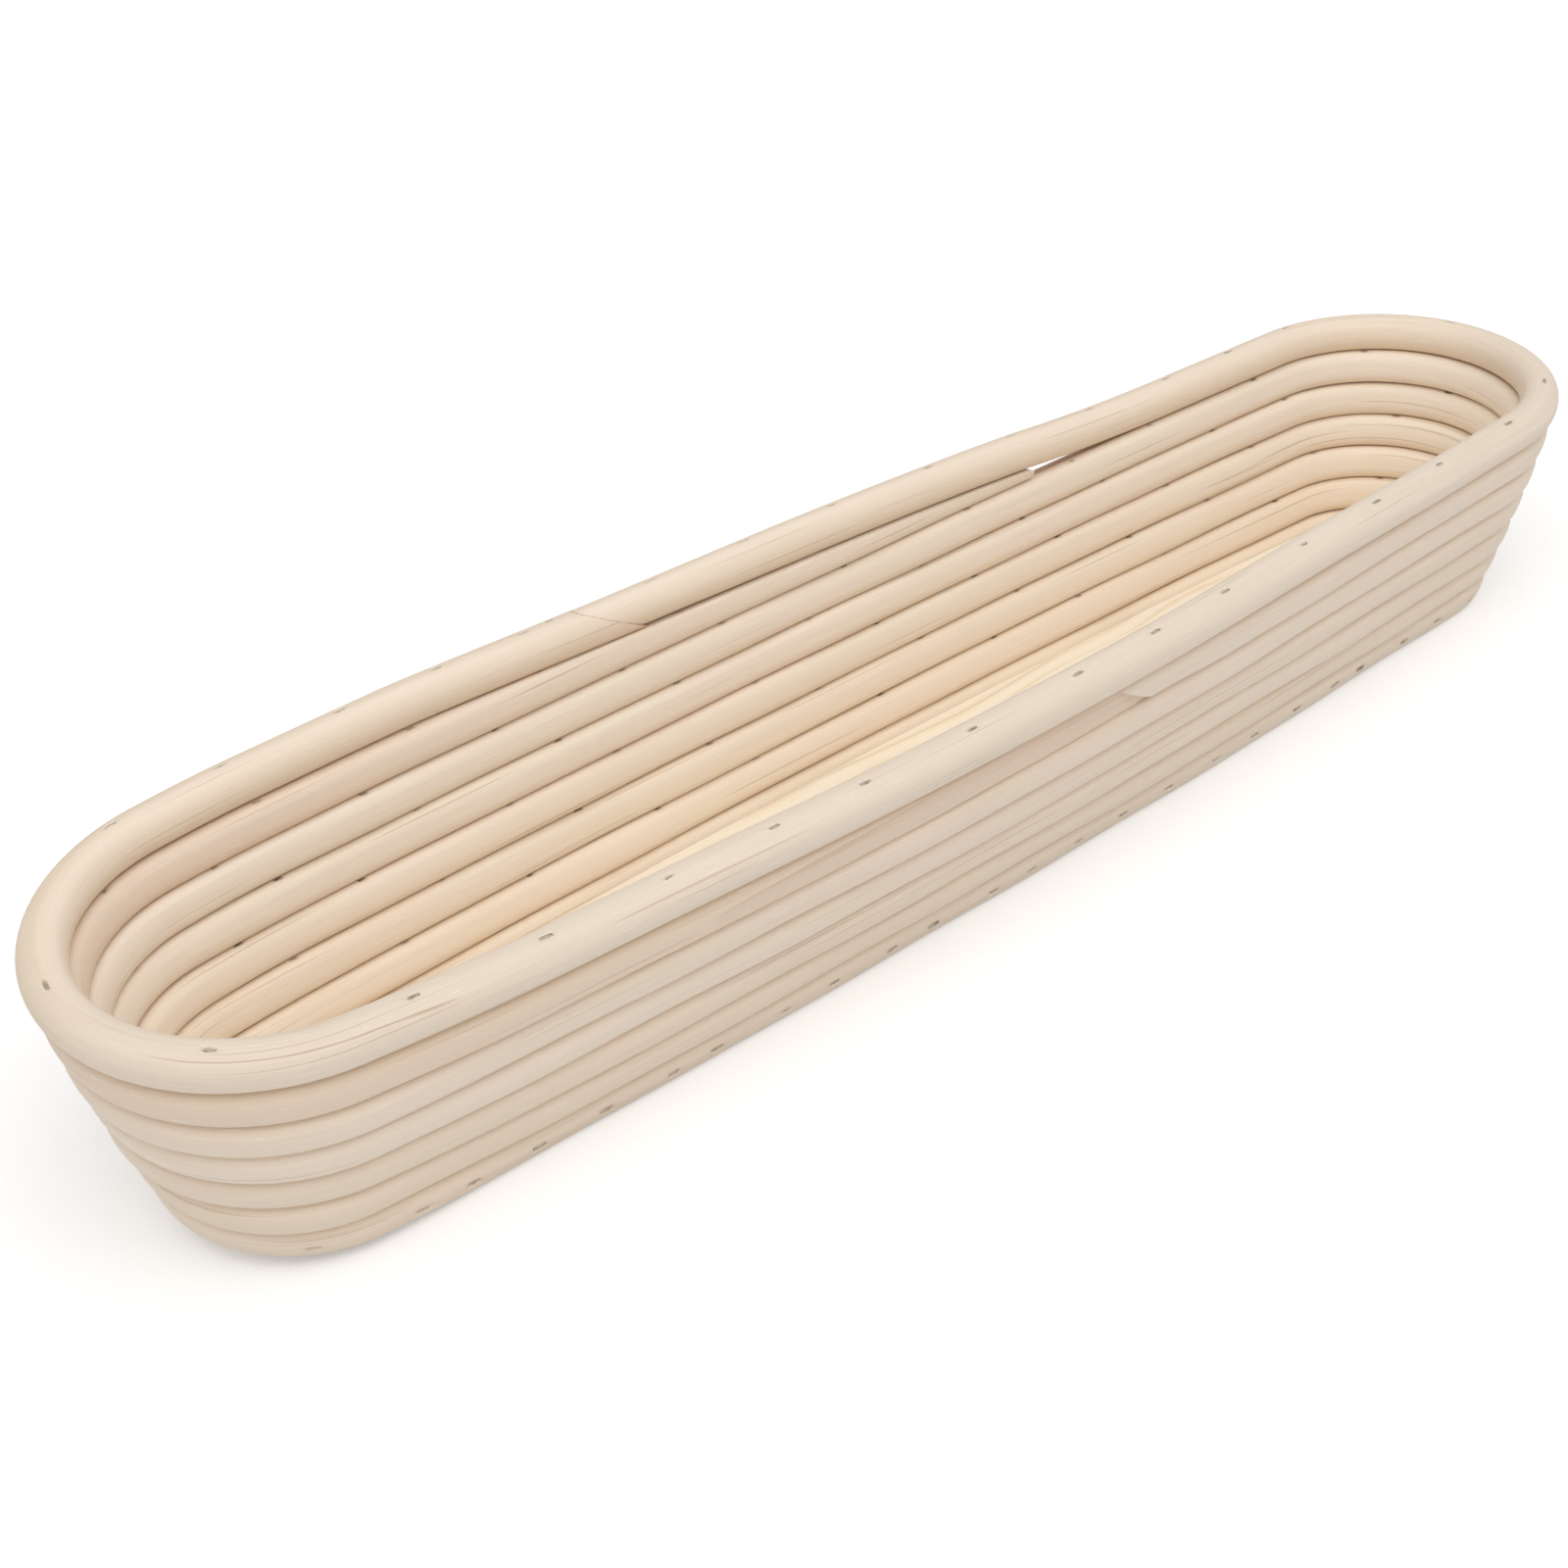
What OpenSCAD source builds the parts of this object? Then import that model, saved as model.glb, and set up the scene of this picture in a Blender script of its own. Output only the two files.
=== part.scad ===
// Long proofing basket: cane wound turn on turn round a wooden floor board, under a stapled rim.
// Millimetres, +Z up. The origin is on the ground under the middle, and +X runs along the basket.
// Each turn goes clockwise seen from above: along the back, round the right end, along the front,
// then round the left end, where it climbs onto the turn before it.

/* [Floor board] */
// Length of the board
board_len = 402; // [300:1:500]
// Width of the board across its middle
board_w = 53; // [40:1:90]
// Thickness of the board
board_t = 9; // [6:0.5:14]
// How far the long edges bulge past the round ends
board_bow = 4; // [2:0.5:10]

/* [Wound wall] */
// Diameter of the wall cane
cane_d = 9; // [7:0.5:13]
// Gap between one turn and the next
turn_gap = 0.5; // [0.45:0.05:1]
// Gap between the board's edge and the first turn
edge_gap = 0.2; // [0.1:0.05:0.5]
// Height of the first turn above the ground that the board stands on
base_lift = 0.5; // [0.2:0.1:1.5]
// Turns of cane from the board to the rim
turns = 6; // [4:1:9]
// Angle by which the wall leans outward at the first turn
lean_base = 18; // [5:0.5:30]
// Angle by which the wall leans outward under the rim
lean_top = 10.5; // [5:0.5:30]
// How far the front swells outward between its ends, at the height of the rim
front_swell = 3.5; // [-4:0.5:10]
// How far the back swells outward between its ends, at the height of the rim
back_swell = -1.5; // [-4:0.5:10]
// Length over which a turn climbs onto the one before it
climb_len = 150; // [130:5:220]
// Distance past the left end, along the back, at which the climb is over
climb_end = 25; // [5:1:50]
// Thickness at its tip of the tapered start, which fills the room under the first climb
start_tip = 2.5; // [1.5:0.1:5]
// Width of that tip, which lies close to the board
start_w = 3; // [2:0.5:6]

/* [Splice in the top turn] */
// Distance from the middle to the end of the long cane, on the front
splice_x = 25; // [-60:1:80]
// Thickness of that end, which is cut thin on its inner side
splice_t = 2; // [1:0.1:4]
// Length over which the thin ends of the two canes lie over each other
lap_len = 60; // [30:1:90]
// Gap between the two thin ends
lap_gap = 0.4; // [0.2:0.05:0.6]
// Length of the shallow cut that shows beyond the end of the long cane
scarf_len = 125; // [60:1:150]
// Thickness of the closing cane at its hidden tip
tail_tip = 1; // [0.8:0.1:2]

/* [Tapered end of the winding] */
// Distance from the middle to the tip, on the back
tip_x = 79; // [0:1:120]
// Length of the taper
taper_len = 196; // [120:1:200]
// Share of the taper that is even along its length, while the rest comes near the tip
taper_even = 0.8; // [0.5:0.05:1]
// Thickness at the tip
tip_t = 2.2; // [1.5:0.1:5]
// Length over which the rim comes down past the tip
rim_fall = 55; // [30:1:80]

/* [Rim] */
// Diameter of the rim cane
rim_d = 9.6; // [8:0.1:14]
// Gap between the rim and the turn under it
rim_gap = 0.5; // [0.3:0.05:1]
// Distance from the middle to the joint in the rim, on the back
joint_x = -58; // [-100:1:60]
// Length along the rim of the slanting cut at the joint
joint_slant = 17; // [6:1:24]
// Gap between the two cut faces
joint_gap = 0.4; // [0.2:0.05:1]

/* [Staples] */
// Length of a staple's crown
crown_len = 4; // [3:0.5:8]
// Thickness of the staple wire
wire_t = 0.6; // [0.4:0.05:1]
// Width of the staple wire
wire_w = 0.9; // [0.6:0.05:1.4]
// How deep the middle of a crown's wire is driven under the surface of its cane
crown_sink = 0.35; // [0.1:0.05:0.5]
// How far the legs reach into the second piece that they hold
leg_bite = 4; // [3:0.5:6]
// How far the base staples sit below the middle of the first turn
base_drop = 1.2; // [0:0.1:2.5]
// Spacing of the staples that hold the first turn to the board
base_spacing = 16; // [12:1:40]
// Spacing of the staples that hold each turn to the one below
wall_spacing = 38; // [25:1:80]
// How far inside the middle of the cane those staples are driven
wall_inset = 2; // [0:0.1:3]
// Spacing of the staples that hold the rim
rim_spacing = 28; // [18:1:60]
// Distance from the joint in the rim to the staple on either side of it
joint_clear = 18; // [14:1:30]
// Least gap between a rim staple and the nearest staple of the turn below it
staple_gap = 1; // [0.5:0.1:3]

/* [Hidden] */

// Colours of the pale cane, the board and the wire
cane_tone = [0.87, 0.80, 0.69];
board_tone = [0.87, 0.76, 0.58];
wire_tone = [0.55, 0.55, 0.56];

// Sides of a cane's section, and rings along each round end and each long side of a turn
cane_sides = 8;
end_rings = 12;
side_rings = 9;
turn_rings = 2 * (end_rings + side_rings);
// Power with which the uneven share of the taper grows towards the tip
taper_power = 6;
// Least distance between two rings, which leaves room for a slanting cut
ring_step = 3 + joint_slant / 2;
// Facets of the board's round ends, and of the circles that its long edges are part of
end_facets = 120;
side_facets = 1440;

// The board's outline: two end arcs and two long, flat side arcs that meet them smoothly
end_r = board_w / 2 - board_bow;
end_cx = board_len / 2 - end_r;
side_r = (end_cx * end_cx + pow(board_w / 2, 2) - end_r * end_r) / (2 * board_bow);
side_cy = side_r - board_w / 2;
// Direction, from +X, of the outward normal where an end arc meets a side arc
meet_deg = atan2(side_cy, end_cx);
side_deg = 180 - 2 * meet_deg;
end_deg = 2 * meet_deg;

// The middle of the first turn runs this far outside the board, and each turn is a pitch up the wall
lay = edge_gap + cane_d / 2;
pitch = cane_d + turn_gap;
wall_slant = turns * pitch;
// Change of the lean for each millimetre up the wall
curl = (lean_top - lean_base) / wall_slant;
base_z = base_lift + cane_d / 2;
side_len = arc_len(side_r + lay, side_deg);
end_len = arc_len(end_r + lay, end_deg);
turn_len = 2 * (side_len + end_len);

// Places along the winding, measured from where the first turn has its full thickness
splice_q = front_q(splice_x) + (turns - 1) * turn_len;
// The thin ends of the splice get thicker by this much for each millimetre along them
lap_slope = (cane_d - lap_gap - splice_t - tail_tip) / lap_len;
// The long cane has its full thickness up to here
full_q = splice_q - (cane_d - splice_t) / lap_slope;
tip_m = back_q(tip_x);
tip_q = tip_m + turns * turn_len;
joint_m = back_q(joint_x);
// Length of the tapered start: back to where the first climb leaves room for its tip
start_part = 0.5 - sin(asin(1 - 2 * (start_tip + turn_gap) / pitch) / 3);
start_len = climb_len * (1 - start_part);
// Height up the wall of the top of the last full turn
top_crest = (turns - 1) * pitch + cane_d / 2;
// The first turn takes base staples up to here, where it has climbed a third of the way
base_reach = turn_len - 0.6 * climb_len;
// Top of a crown, measured outward from the surface of its cane
crown_lift = wire_t / 2 - crown_sink;
// Step of the wall staples, with which those of one turn fall midway between those of the turn below
wall_step = turn_len / (floor(turn_len / wall_spacing) + 0.5);

function arc_len(radius, degrees) = radius * degrees * PI / 180;

// Smooth step from 0 to 1
function ease(x) = x <= 0 ? 0 : x >= 1 ? 1 : x * x * (3 - 2 * x);

// Value that runs evenly from a to b as x goes from 0 to 1
function ramp(a, b, x) = a + (b - a) * min(max(x, 0), 1);

// Places along the winding of a point on the back or the front, from its distance to the middle
function along(x) = arc_len(side_r + lay, asin(x / (side_r + lay)));
function back_q(x) = side_len / 2 + along(x) - climb_end;
function front_q(x) = 1.5 * side_len + end_len - along(x) - climb_end;

// Distance round the turn from the back left corner, for a place along the winding
function round_s(q) = (q + climb_end) - turn_len * floor((q + climb_end) / turn_len);

// Direction of the outward normal at a distance round the turn
function normal_deg(s) =
    s < side_len ? 180 - meet_deg - side_deg * s / side_len :
    s < side_len + end_len ? meet_deg - end_deg * (s - side_len) / end_len :
    s < 2 * side_len + end_len ? -meet_deg - side_deg * (s - side_len - end_len) / side_len :
    meet_deg - 180 - end_deg * (s - 2 * side_len - end_len) / end_len;

// Centre and radius of the arc of the board's outline at a distance round the turn
function arc_centre(s) =
    s < side_len ? [0, -side_cy] :
    s < side_len + end_len ? [end_cx, 0] :
    s < 2 * side_len + end_len ? [0, side_cy] : [-end_cx, 0];
function arc_radius(s) =
    s < side_len || (s >= side_len + end_len && s < 2 * side_len + end_len) ? side_r : end_r;

// The wall's profile is an arc: its lean, its reach outward and its true height, for a height up the wall
function lean_at(rise) = lean_base + curl * rise;
function reach_at(rise) =
    curl == 0 ? rise * sin(lean_base) :
    (cos(lean_base) - cos(lean_at(rise))) * 180 / (PI * curl);
function height_at(rise) =
    curl == 0 ? rise * cos(lean_base) :
    (sin(lean_at(rise)) - sin(lean_base)) * 180 / (PI * curl);

// Swelling of the long sides, which grows evenly with the height up the wall
function swell(s, rise) =
    s < side_len ? back_swell * pow(sin(180 * s / side_len), 2) * rise / wall_slant :
    s >= side_len + end_len && s < 2 * side_len + end_len ?
        front_swell * pow(sin(180 * (s - side_len - end_len) / side_len), 2) * rise / wall_slant : 0;

// Outward direction, direction up the wall and direction square out of the wall, for a normal
function outward(deg) = [cos(deg), sin(deg), 0];
function up_wall(deg, rise) = outward(deg) * sin(lean_at(rise)) + [0, 0, cos(lean_at(rise))];
function out_wall(deg, rise) = outward(deg) * cos(lean_at(rise)) - [0, 0, sin(lean_at(rise))];

// Point at a place along the winding, a height up the wall and a distance out of it
function wall_point(q, rise, out) =
    let (s = round_s(q), deg = normal_deg(s), centre = arc_centre(s),
         radius = arc_radius(s) + lay + reach_at(rise) + swell(s, rise))
    [centre[0], centre[1], base_z + height_at(rise)] + radius * outward(deg) + out * out_wall(deg, rise);

// Height up the wall of the winding's middle
function turn_rise(q) =
    q < 0 ? 0 :
    let (k = floor(q / turn_len), m = q - k * turn_len)
    pitch * (k + ease((m - turn_len + climb_len) / climb_len));

// Thickness of the tapered end at a distance round its last turn
function end_thick(m) =
    let (part = ramp(0, 1, (m - tip_m + taper_len) / taper_len))
    ramp(cane_d, tip_t, taper_even * part + (1 - taper_even) * pow(part, taper_power));

// Height up the wall of the top of the winding, which the rim follows
function crest(m) =
    m <= tip_m ? top_crest + turn_gap + end_thick(m) :
    m <= tip_m + rim_fall ?
        top_crest + (turn_gap + tip_t) * pow(1 - (m - tip_m) / rim_fall, 2) :
    top_crest + pitch * ease((m - turn_len + climb_len) / climb_len);
function rim_rise(q) = crest(q - turn_len * floor(q / turn_len)) + rim_gap + rim_d / 2;

// Place of a wall staple, from its number along the winding
function wall_staple_q(i) = turn_len + wall_step * (i + 0.5);

// Place of a rim staple near q, moved away from a staple of the turn below that it would meet
function rim_staple_q(q) =
    let (m = q - turn_len * floor(q / turn_len),
         below = m + (m <= tip_m ? turns : turns - 1) * turn_len,
         nearest = wall_staple_q(round((below - wall_staple_q(0)) / wall_step)),
         room = crown_len + staple_gap)
    abs(below - nearest) >= room ? q : q + nearest - below + (below < nearest ? -room : room);

// Place along the winding of ring number i, more closely set round the ends than along the sides
function ring_place(i) =
    let (turn = floor(i / turn_rings), j = i - turn * turn_rings)
    turn * turn_len - climb_end + (
        j < side_rings ? side_len * j / side_rings :
        j < side_rings + end_rings ? side_len + end_len * (j - side_rings) / end_rings :
        j < 2 * side_rings + end_rings ?
            side_len + end_len + side_len * (j - side_rings - end_rings) / side_rings :
        2 * side_len + end_len + end_len * (j - 2 * side_rings - end_rings) / end_rings);

// Places of all rings from one place to another, with both ends and any place in between that is named
function places(from, to, named) =
    let (first = floor(from / turn_len) * turn_rings, last = (floor(to / turn_len) + 2) * turn_rings)
    concat([from], [for (i = [first : last]) let (q = ring_place(i))
        if (q > from + ring_step && q < to - ring_step
            && min([for (n = named) abs(q - n)]) > ring_step / 2) q], named, [to]);

// The same places in order
function sorted(list) =
    len(list) <= 1 ? list :
    let (mid = list[floor(len(list) / 2)])
    concat(sorted([for (v = list) if (v < mid) v]), [for (v = list) if (v == mid) v],
           sorted([for (v = list) if (v > mid) v]));

// A ring of a cane is [place, rise, half thickness up the wall, half thickness out of the wall,
// distance out of the wall, lean of the cut along the cane for each millimetre up the wall]
function ring_points(ring) =
    let (deg = normal_deg(round_s(ring[0])), way = [sin(deg), -cos(deg), 0],
         middle = wall_point(ring[0], ring[1], ring[4]))
    [for (k = [0 : cane_sides - 1]) let (turned = 360 * (k + 0.5) / cane_sides,
         up = ring[2] * sin(turned), out = ring[3] * cos(turned))
     middle + up * up_wall(deg, ring[1]) + out * out_wall(deg, ring[1]) - ring[5] * up * way];

// Least gap between the rings of one winding that lie over each other
function least_gap(rings) =
    min([for (a = rings) for (b = rings) if (b[0] - a[0] > turn_len / 2 && b[0] - a[0] < 1.5 * turn_len)
         norm(wall_point(a[0], a[1], a[4]) - wall_point(b[0], b[1], b[4])) - a[2] - b[2]]);

// Long cane: it starts as a taper under the first climb and ends thin, over the tail of the closing cane
function long_thick(q) = q < 0 ? pitch * ease((q + climb_len) / climb_len) - turn_gap : cane_d;
function long_depth(q) =
    q < 0 ? ramp(start_w, cane_d, (q + start_len) / start_len) :
    min(cane_d, splice_t + lap_slope * (splice_q - q));
// The start lies close to the board, and the thin end lies on the outside of the wall
function long_out(q) =
    q < 0 ? (long_depth(q) - cane_d) / 2 + (cane_d - long_thick(q)) / 2 * tan(lean_base) :
    (cane_d - long_depth(q)) / 2;
function long_rings() =
    [for (q = sorted(places(-start_len, splice_q, [0, full_q])))
        [q, turn_rise(q) + (long_thick(q) - cane_d) / 2, long_thick(q) / 2, long_depth(q) / 2, long_out(q), 0]];

// Closing cane: tail and scarf on the front, then up the left end and along the back to its thin tip
function close_depth(q) =
    q < splice_q ? tail_tip + lap_slope * (q - splice_q + lap_len) :
    ramp(cane_d - lap_gap - splice_t, cane_d, (q - splice_q) / scarf_len);
function close_thick(q) = q < turns * turn_len ? cane_d : end_thick(q - turns * turn_len);
function close_rings() =
    [for (q = sorted(places(splice_q - lap_len, tip_q,
                            [splice_q, splice_q + scarf_len, tip_q - taper_len])))
        [q, turn_rise(q) + (close_thick(q) - cane_d) / 2, close_thick(q) / 2,
         close_depth(q) / 2, (close_depth(q) - cane_d) / 2, 0]];

// Rim: once round, from one face of its slanting joint to the other
function rim_rings() =
    let (from = joint_m + joint_gap / 2, to = joint_m + turn_len - joint_gap / 2)
    [for (q = sorted(places(from, to, [tip_m, tip_m + rim_fall])))
        [q, rim_rise(q), rim_d / 2, rim_d / 2, 0,
         q == from || q == to ? joint_slant / rim_d : 0]];

// Solid cane through a list of rings
module cane(rings) {
    n = cane_sides;
    last = (len(rings) - 1) * n;
    polyhedron(
        points = [for (ring = rings) each ring_points(ring)],
        faces = concat(
            [for (i = [0 : len(rings) - 2]) for (k = [0 : n - 1]) each [
                [i * n + k, (i + 1) * n + k, (i + 1) * n + (k + 1) % n],
                [i * n + k, (i + 1) * n + (k + 1) % n, i * n + (k + 1) % n]]],
            [for (k = [1 : n - 2]) [0, k, k + 1]],
            [for (k = [1 : n - 2]) [last, last + k + 1, last + k]]));
}

// Staple with its crown along Y at the top and its legs down
module staple(leg) {
    half = crown_len / 2;
    rotate([90, 0, 90])
        linear_extrude(wire_w, center = true)
            polygon([[-half, 0], [-half, -leg], [wire_t - half, -leg], [wire_t - half, -wire_t],
                     [half - wire_t, -wire_t], [half - wire_t, -leg], [half, -leg], [half, 0]]);
}

// Staple driven down the wall, with its crown at a height up the wall and a distance inside its middle
module wall_staple(q, rise, inset, leg) {
    translate(wall_point(q, rise, -inset))
        rotate([0, lean_at(rise), normal_deg(round_s(q))])
            staple(leg);
}

// Staple driven level through the first turn into the board's edge
module base_staple(q) {
    reach = sqrt(pow(cane_d / 2, 2) - base_drop * base_drop) + crown_lift;
    deg = normal_deg(round_s(q));
    translate(wall_point(q, turn_rise(q), 0) + reach * outward(deg) - [0, 0, base_drop])
        rotate([0, 90, deg])
            staple(reach + cane_d / 2 + edge_gap + leg_bite);
}

module floor_board() {
    meet_x = end_cx + end_r * cos(meet_deg);
    color(board_tone)
        linear_extrude(board_t) {
            for (end = [-1, 1]) translate([end * end_cx, 0]) circle(end_r, $fn = end_facets);
            intersection() {
                square([2 * meet_x, board_w], center = true);
                translate([0, -side_cy]) circle(side_r, $fn = side_facets);
                translate([0, side_cy]) circle(side_r, $fn = side_facets);
            }
        }
}

module wall_cane() {
    echo(least_gap_of_long_cane = least_gap(long_rings()));
    color(cane_tone) cane(long_rings());
}

module closing_cane() {
    color(cane_tone) cane(close_rings());
}

module rim_cane() {
    color(cane_tone) cane(rim_rings());
}

module base_staples() {
    count = floor(base_reach / base_spacing);
    color(wire_tone)
        for (i = [0 : count - 1]) base_staple(base_reach * (i + 0.5) / count);
}

module wall_staples() {
    count = floor((tip_q - taper_len / 2 - turn_len) / wall_step);
    // Height of a cane's surface above its middle, where the staples go in, as a share of its thickness
    share = sqrt(1 - pow(2 * wall_inset / cane_d, 2)) / 2;
    color(wire_tone)
        for (i = [0 : count - 1]) let (q = wall_staple_q(i), thick = close_thick(q),
                                       crown = (thick - cane_d) / 2 + thick * share + crown_lift)
            if (q < full_q || q > splice_q + scarf_len)
                wall_staple(q, turn_rise(q) + crown, wall_inset, crown + pitch - cane_d * share + leg_bite);
}

module rim_staples() {
    run = turn_len - 2 * joint_clear;
    count = floor(run / rim_spacing);
    color(wire_tone)
        for (i = [0 : count]) let (q = rim_staple_q(joint_m + joint_clear + run * i / count))
            wall_staple(q, rim_rise(q) + rim_d / 2 + crown_lift, 0, rim_d + rim_gap + leg_bite);
}

floor_board();
wall_cane();
closing_cane();
rim_cane();
base_staples();
wall_staples();
rim_staples();
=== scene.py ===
"""Long proofing basket of wound cane: fine pieces, finishes, light and camera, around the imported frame.

Lengths are millimetres, turned into metres where a mesh is made. Finishes, lamps and the floor under the
basket are in metres. Each turn of cane goes clockwise, seen from above: along the back, round the right end,
along the front, then round the left end, where it climbs.
"""
import logging
import math
from abc import ABC, abstractmethod
from dataclasses import dataclass
from enum import Enum
from functools import cached_property
from typing import Any

import bpy
import numpy as np
from mathutils import Matrix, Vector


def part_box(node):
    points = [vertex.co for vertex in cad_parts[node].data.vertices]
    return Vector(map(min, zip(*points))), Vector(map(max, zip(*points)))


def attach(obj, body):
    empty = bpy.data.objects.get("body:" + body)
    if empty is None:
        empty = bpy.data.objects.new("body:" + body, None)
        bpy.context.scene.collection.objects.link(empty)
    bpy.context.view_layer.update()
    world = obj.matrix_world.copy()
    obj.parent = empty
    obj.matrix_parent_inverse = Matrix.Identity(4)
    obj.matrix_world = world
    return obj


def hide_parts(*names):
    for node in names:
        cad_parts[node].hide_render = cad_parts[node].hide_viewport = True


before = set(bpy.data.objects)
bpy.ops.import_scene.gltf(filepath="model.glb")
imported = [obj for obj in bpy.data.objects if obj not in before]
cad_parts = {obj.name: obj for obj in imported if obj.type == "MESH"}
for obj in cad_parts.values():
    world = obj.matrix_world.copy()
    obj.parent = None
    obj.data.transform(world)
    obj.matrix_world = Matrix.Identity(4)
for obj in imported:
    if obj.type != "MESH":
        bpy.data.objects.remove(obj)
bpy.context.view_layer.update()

Array = np.ndarray
Colour = tuple[float, float, float, float]
Waves = tuple[float, float, float]
Span = tuple[float, float]
Place = tuple[float, float, float]

log = logging.getLogger("proofing_basket")

MM = 0.001
FAR = 1.0e6
WHITE: Colour = (1.0, 1.0, 1.0, 1.0)
BODY = "root"
FIRST_STAPLE_SEED = 20


def ease(x: Array) -> Array:
    """Smooth step from 0 to 1."""
    x = np.clip(x, 0.0, 1.0)
    return x * x * (3.0 - 2.0 * x)


def eased_at(share: float) -> float:
    """Where the smooth step reaches a share."""
    return 0.5 - math.sin(math.asin(1.0 - 2.0 * share) / 3.0)


def ramp(a: float, b: float, x: Array) -> Array:
    """Value that runs evenly from a to b as x goes from 0 to 1."""
    return a + (b - a) * np.clip(x, 0.0, 1.0)


def squared(angle: Array, power: float) -> Array:
    """Radius of a round section that is pressed a little square, as a share of its least radius."""
    return (np.abs(np.cos(angle)) ** power + np.abs(np.sin(angle)) ** power) ** (-1.0 / power)


def joined(*parts: Array | float) -> Array:
    """Vectors made of their parts, each an array or one number for all."""
    return np.stack(np.broadcast_arrays(*parts), -1)


class Wander:
    """Smooth, seeded wandering along a cane, as hand winding leaves it."""

    def __init__(self, seed: int, size: float, lengths: tuple[float, ...]) -> None:
        """Draw the phases of the waves.

        Args:
            seed: Seed of the phases.
            size: Largest distance from the middle, nearly.
            lengths: Lengths of the waves along the cane.
        """
        self.size = size / math.sqrt(len(lengths))
        self.lengths = lengths
        self.phases = np.random.default_rng(seed).uniform(0.0, 2.0 * math.pi, len(lengths))

    def __call__(self, q: Array) -> Array:
        """Distance from the middle at places along the cane."""
        waves = [np.sin(2.0 * math.pi * q / n + p) for n, p in zip(self.lengths, self.phases)]
        return self.size * sum(waves)


@dataclass(frozen=True)
class WallPlan:
    """Lines of the wound wall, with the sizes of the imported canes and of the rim's uneven joint.

    A place q is measured along the winding from where the first turn has its full thickness. A rise is
    a height up the leaning wall above the middle of the first turn. An out is a distance square out of it.
    """

    board_len: float
    board_w: float
    board_t: float
    board_bow: float = 4.0
    cane_d: float = 9.0
    turn_gap: float = 0.5
    edge_gap: float = 0.2
    base_lift: float = 0.5
    turns: int = 6
    lean_base: float = math.radians(18.0)
    lean_top: float = math.radians(10.5)
    front_swell: float = 3.5
    back_swell: float = -1.5
    climb_len: float = 150.0
    climb_end: float = 25.0
    start_tip: float = 2.5
    start_w: float = 3.0
    splice_x: float = 25.0
    splice_t: float = 2.0
    lap_len: float = 60.0
    lap_gap: float = 0.4
    scarf_len: float = 125.0
    tail_tip: float = 1.0
    tip_x: float = 79.0
    taper_len: float = 196.0
    taper_even: float = 0.8
    taper_power: float = 6.0
    tip_t: float = 2.2
    rim_fall: float = 55.0
    rim_d: float = 9.6
    rim_gap: float = 0.5
    joint_x: float = -58.0
    joint_slant: float = 17.0
    joint_swell: float = 0.4
    joint_outward: float = 0.3
    joint_blend: float = 60.0

    @classmethod
    def from_frame(cls) -> "WallPlan":
        """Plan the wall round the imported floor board.

        Returns:
            The plan.
        """
        low, high = (np.array(corner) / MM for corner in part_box("floor_board"))
        size = high - low
        return cls(board_len=float(size[0]), board_w=float(size[1]), board_t=float(size[2]))

    @cached_property
    def pitch(self) -> float:
        """Distance from one turn to the next."""
        return self.cane_d + self.turn_gap

    @cached_property
    def wall_slant(self) -> float:
        """Height up the wall of all turns."""
        return self.turns * self.pitch

    @cached_property
    def curl(self) -> float:
        """Change of the lean for each millimetre up the wall."""
        return (self.lean_top - self.lean_base) / self.wall_slant

    @cached_property
    def lay(self) -> float:
        """Distance of the first turn's middle from the board."""
        return self.edge_gap + self.cane_d / 2.0

    @cached_property
    def end_r(self) -> float:
        """Radius of the board's round ends."""
        return self.board_w / 2.0 - self.board_bow

    @cached_property
    def end_cx(self) -> float:
        """Distance of the round ends' centres from the middle."""
        return self.board_len / 2.0 - self.end_r

    @cached_property
    def side_r(self) -> float:
        """Radius of the board's long, flat side arcs."""
        squares = self.end_cx ** 2 + (self.board_w / 2.0) ** 2 - self.end_r ** 2
        return squares / (2.0 * self.board_bow)

    @cached_property
    def side_cy(self) -> float:
        """Distance of the side arcs' centres from the middle."""
        return self.side_r - self.board_w / 2.0

    @cached_property
    def meet(self) -> float:
        """Direction of the normal where an end arc meets a side arc."""
        return math.atan2(self.side_cy, self.end_cx)

    @cached_property
    def side_len(self) -> float:
        """Length of a long side of the first turn."""
        return (math.pi - 2.0 * self.meet) * (self.side_r + self.lay)

    @cached_property
    def end_len(self) -> float:
        """Length of a round end of the first turn."""
        return 2.0 * self.meet * (self.end_r + self.lay)

    @cached_property
    def front_s(self) -> float:
        """Distance round the first turn to the start of the front."""
        return self.side_len + self.end_len

    @cached_property
    def left_s(self) -> float:
        """Distance round the first turn to the start of the left end."""
        return self.front_s + self.side_len

    @cached_property
    def turn_len(self) -> float:
        """Length of the first turn."""
        return 2.0 * (self.side_len + self.end_len)

    @cached_property
    def splice_q(self) -> float:
        """Place of the end of the long cane, on the front."""
        return self.front_q(self.splice_x) + (self.turns - 1) * self.turn_len

    @cached_property
    def lap_slope(self) -> float:
        """Growth in thickness of the splice's thin ends for each millimetre along them."""
        return (self.cane_d - self.lap_gap - self.splice_t - self.tail_tip) / self.lap_len

    @cached_property
    def full_q(self) -> float:
        """Place up to which the long cane has its full thickness."""
        return self.splice_q - (self.cane_d - self.splice_t) / self.lap_slope

    @cached_property
    def tip_m(self) -> float:
        """Place of the tapered tip in its turn, on the back."""
        return self.back_q(self.tip_x)

    @cached_property
    def tip_q(self) -> float:
        """Place of the tapered tip along the winding."""
        return self.tip_m + self.turns * self.turn_len

    @cached_property
    def joint_m(self) -> float:
        """Place of the joint in the rim, on the back."""
        return self.back_q(self.joint_x)

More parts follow.
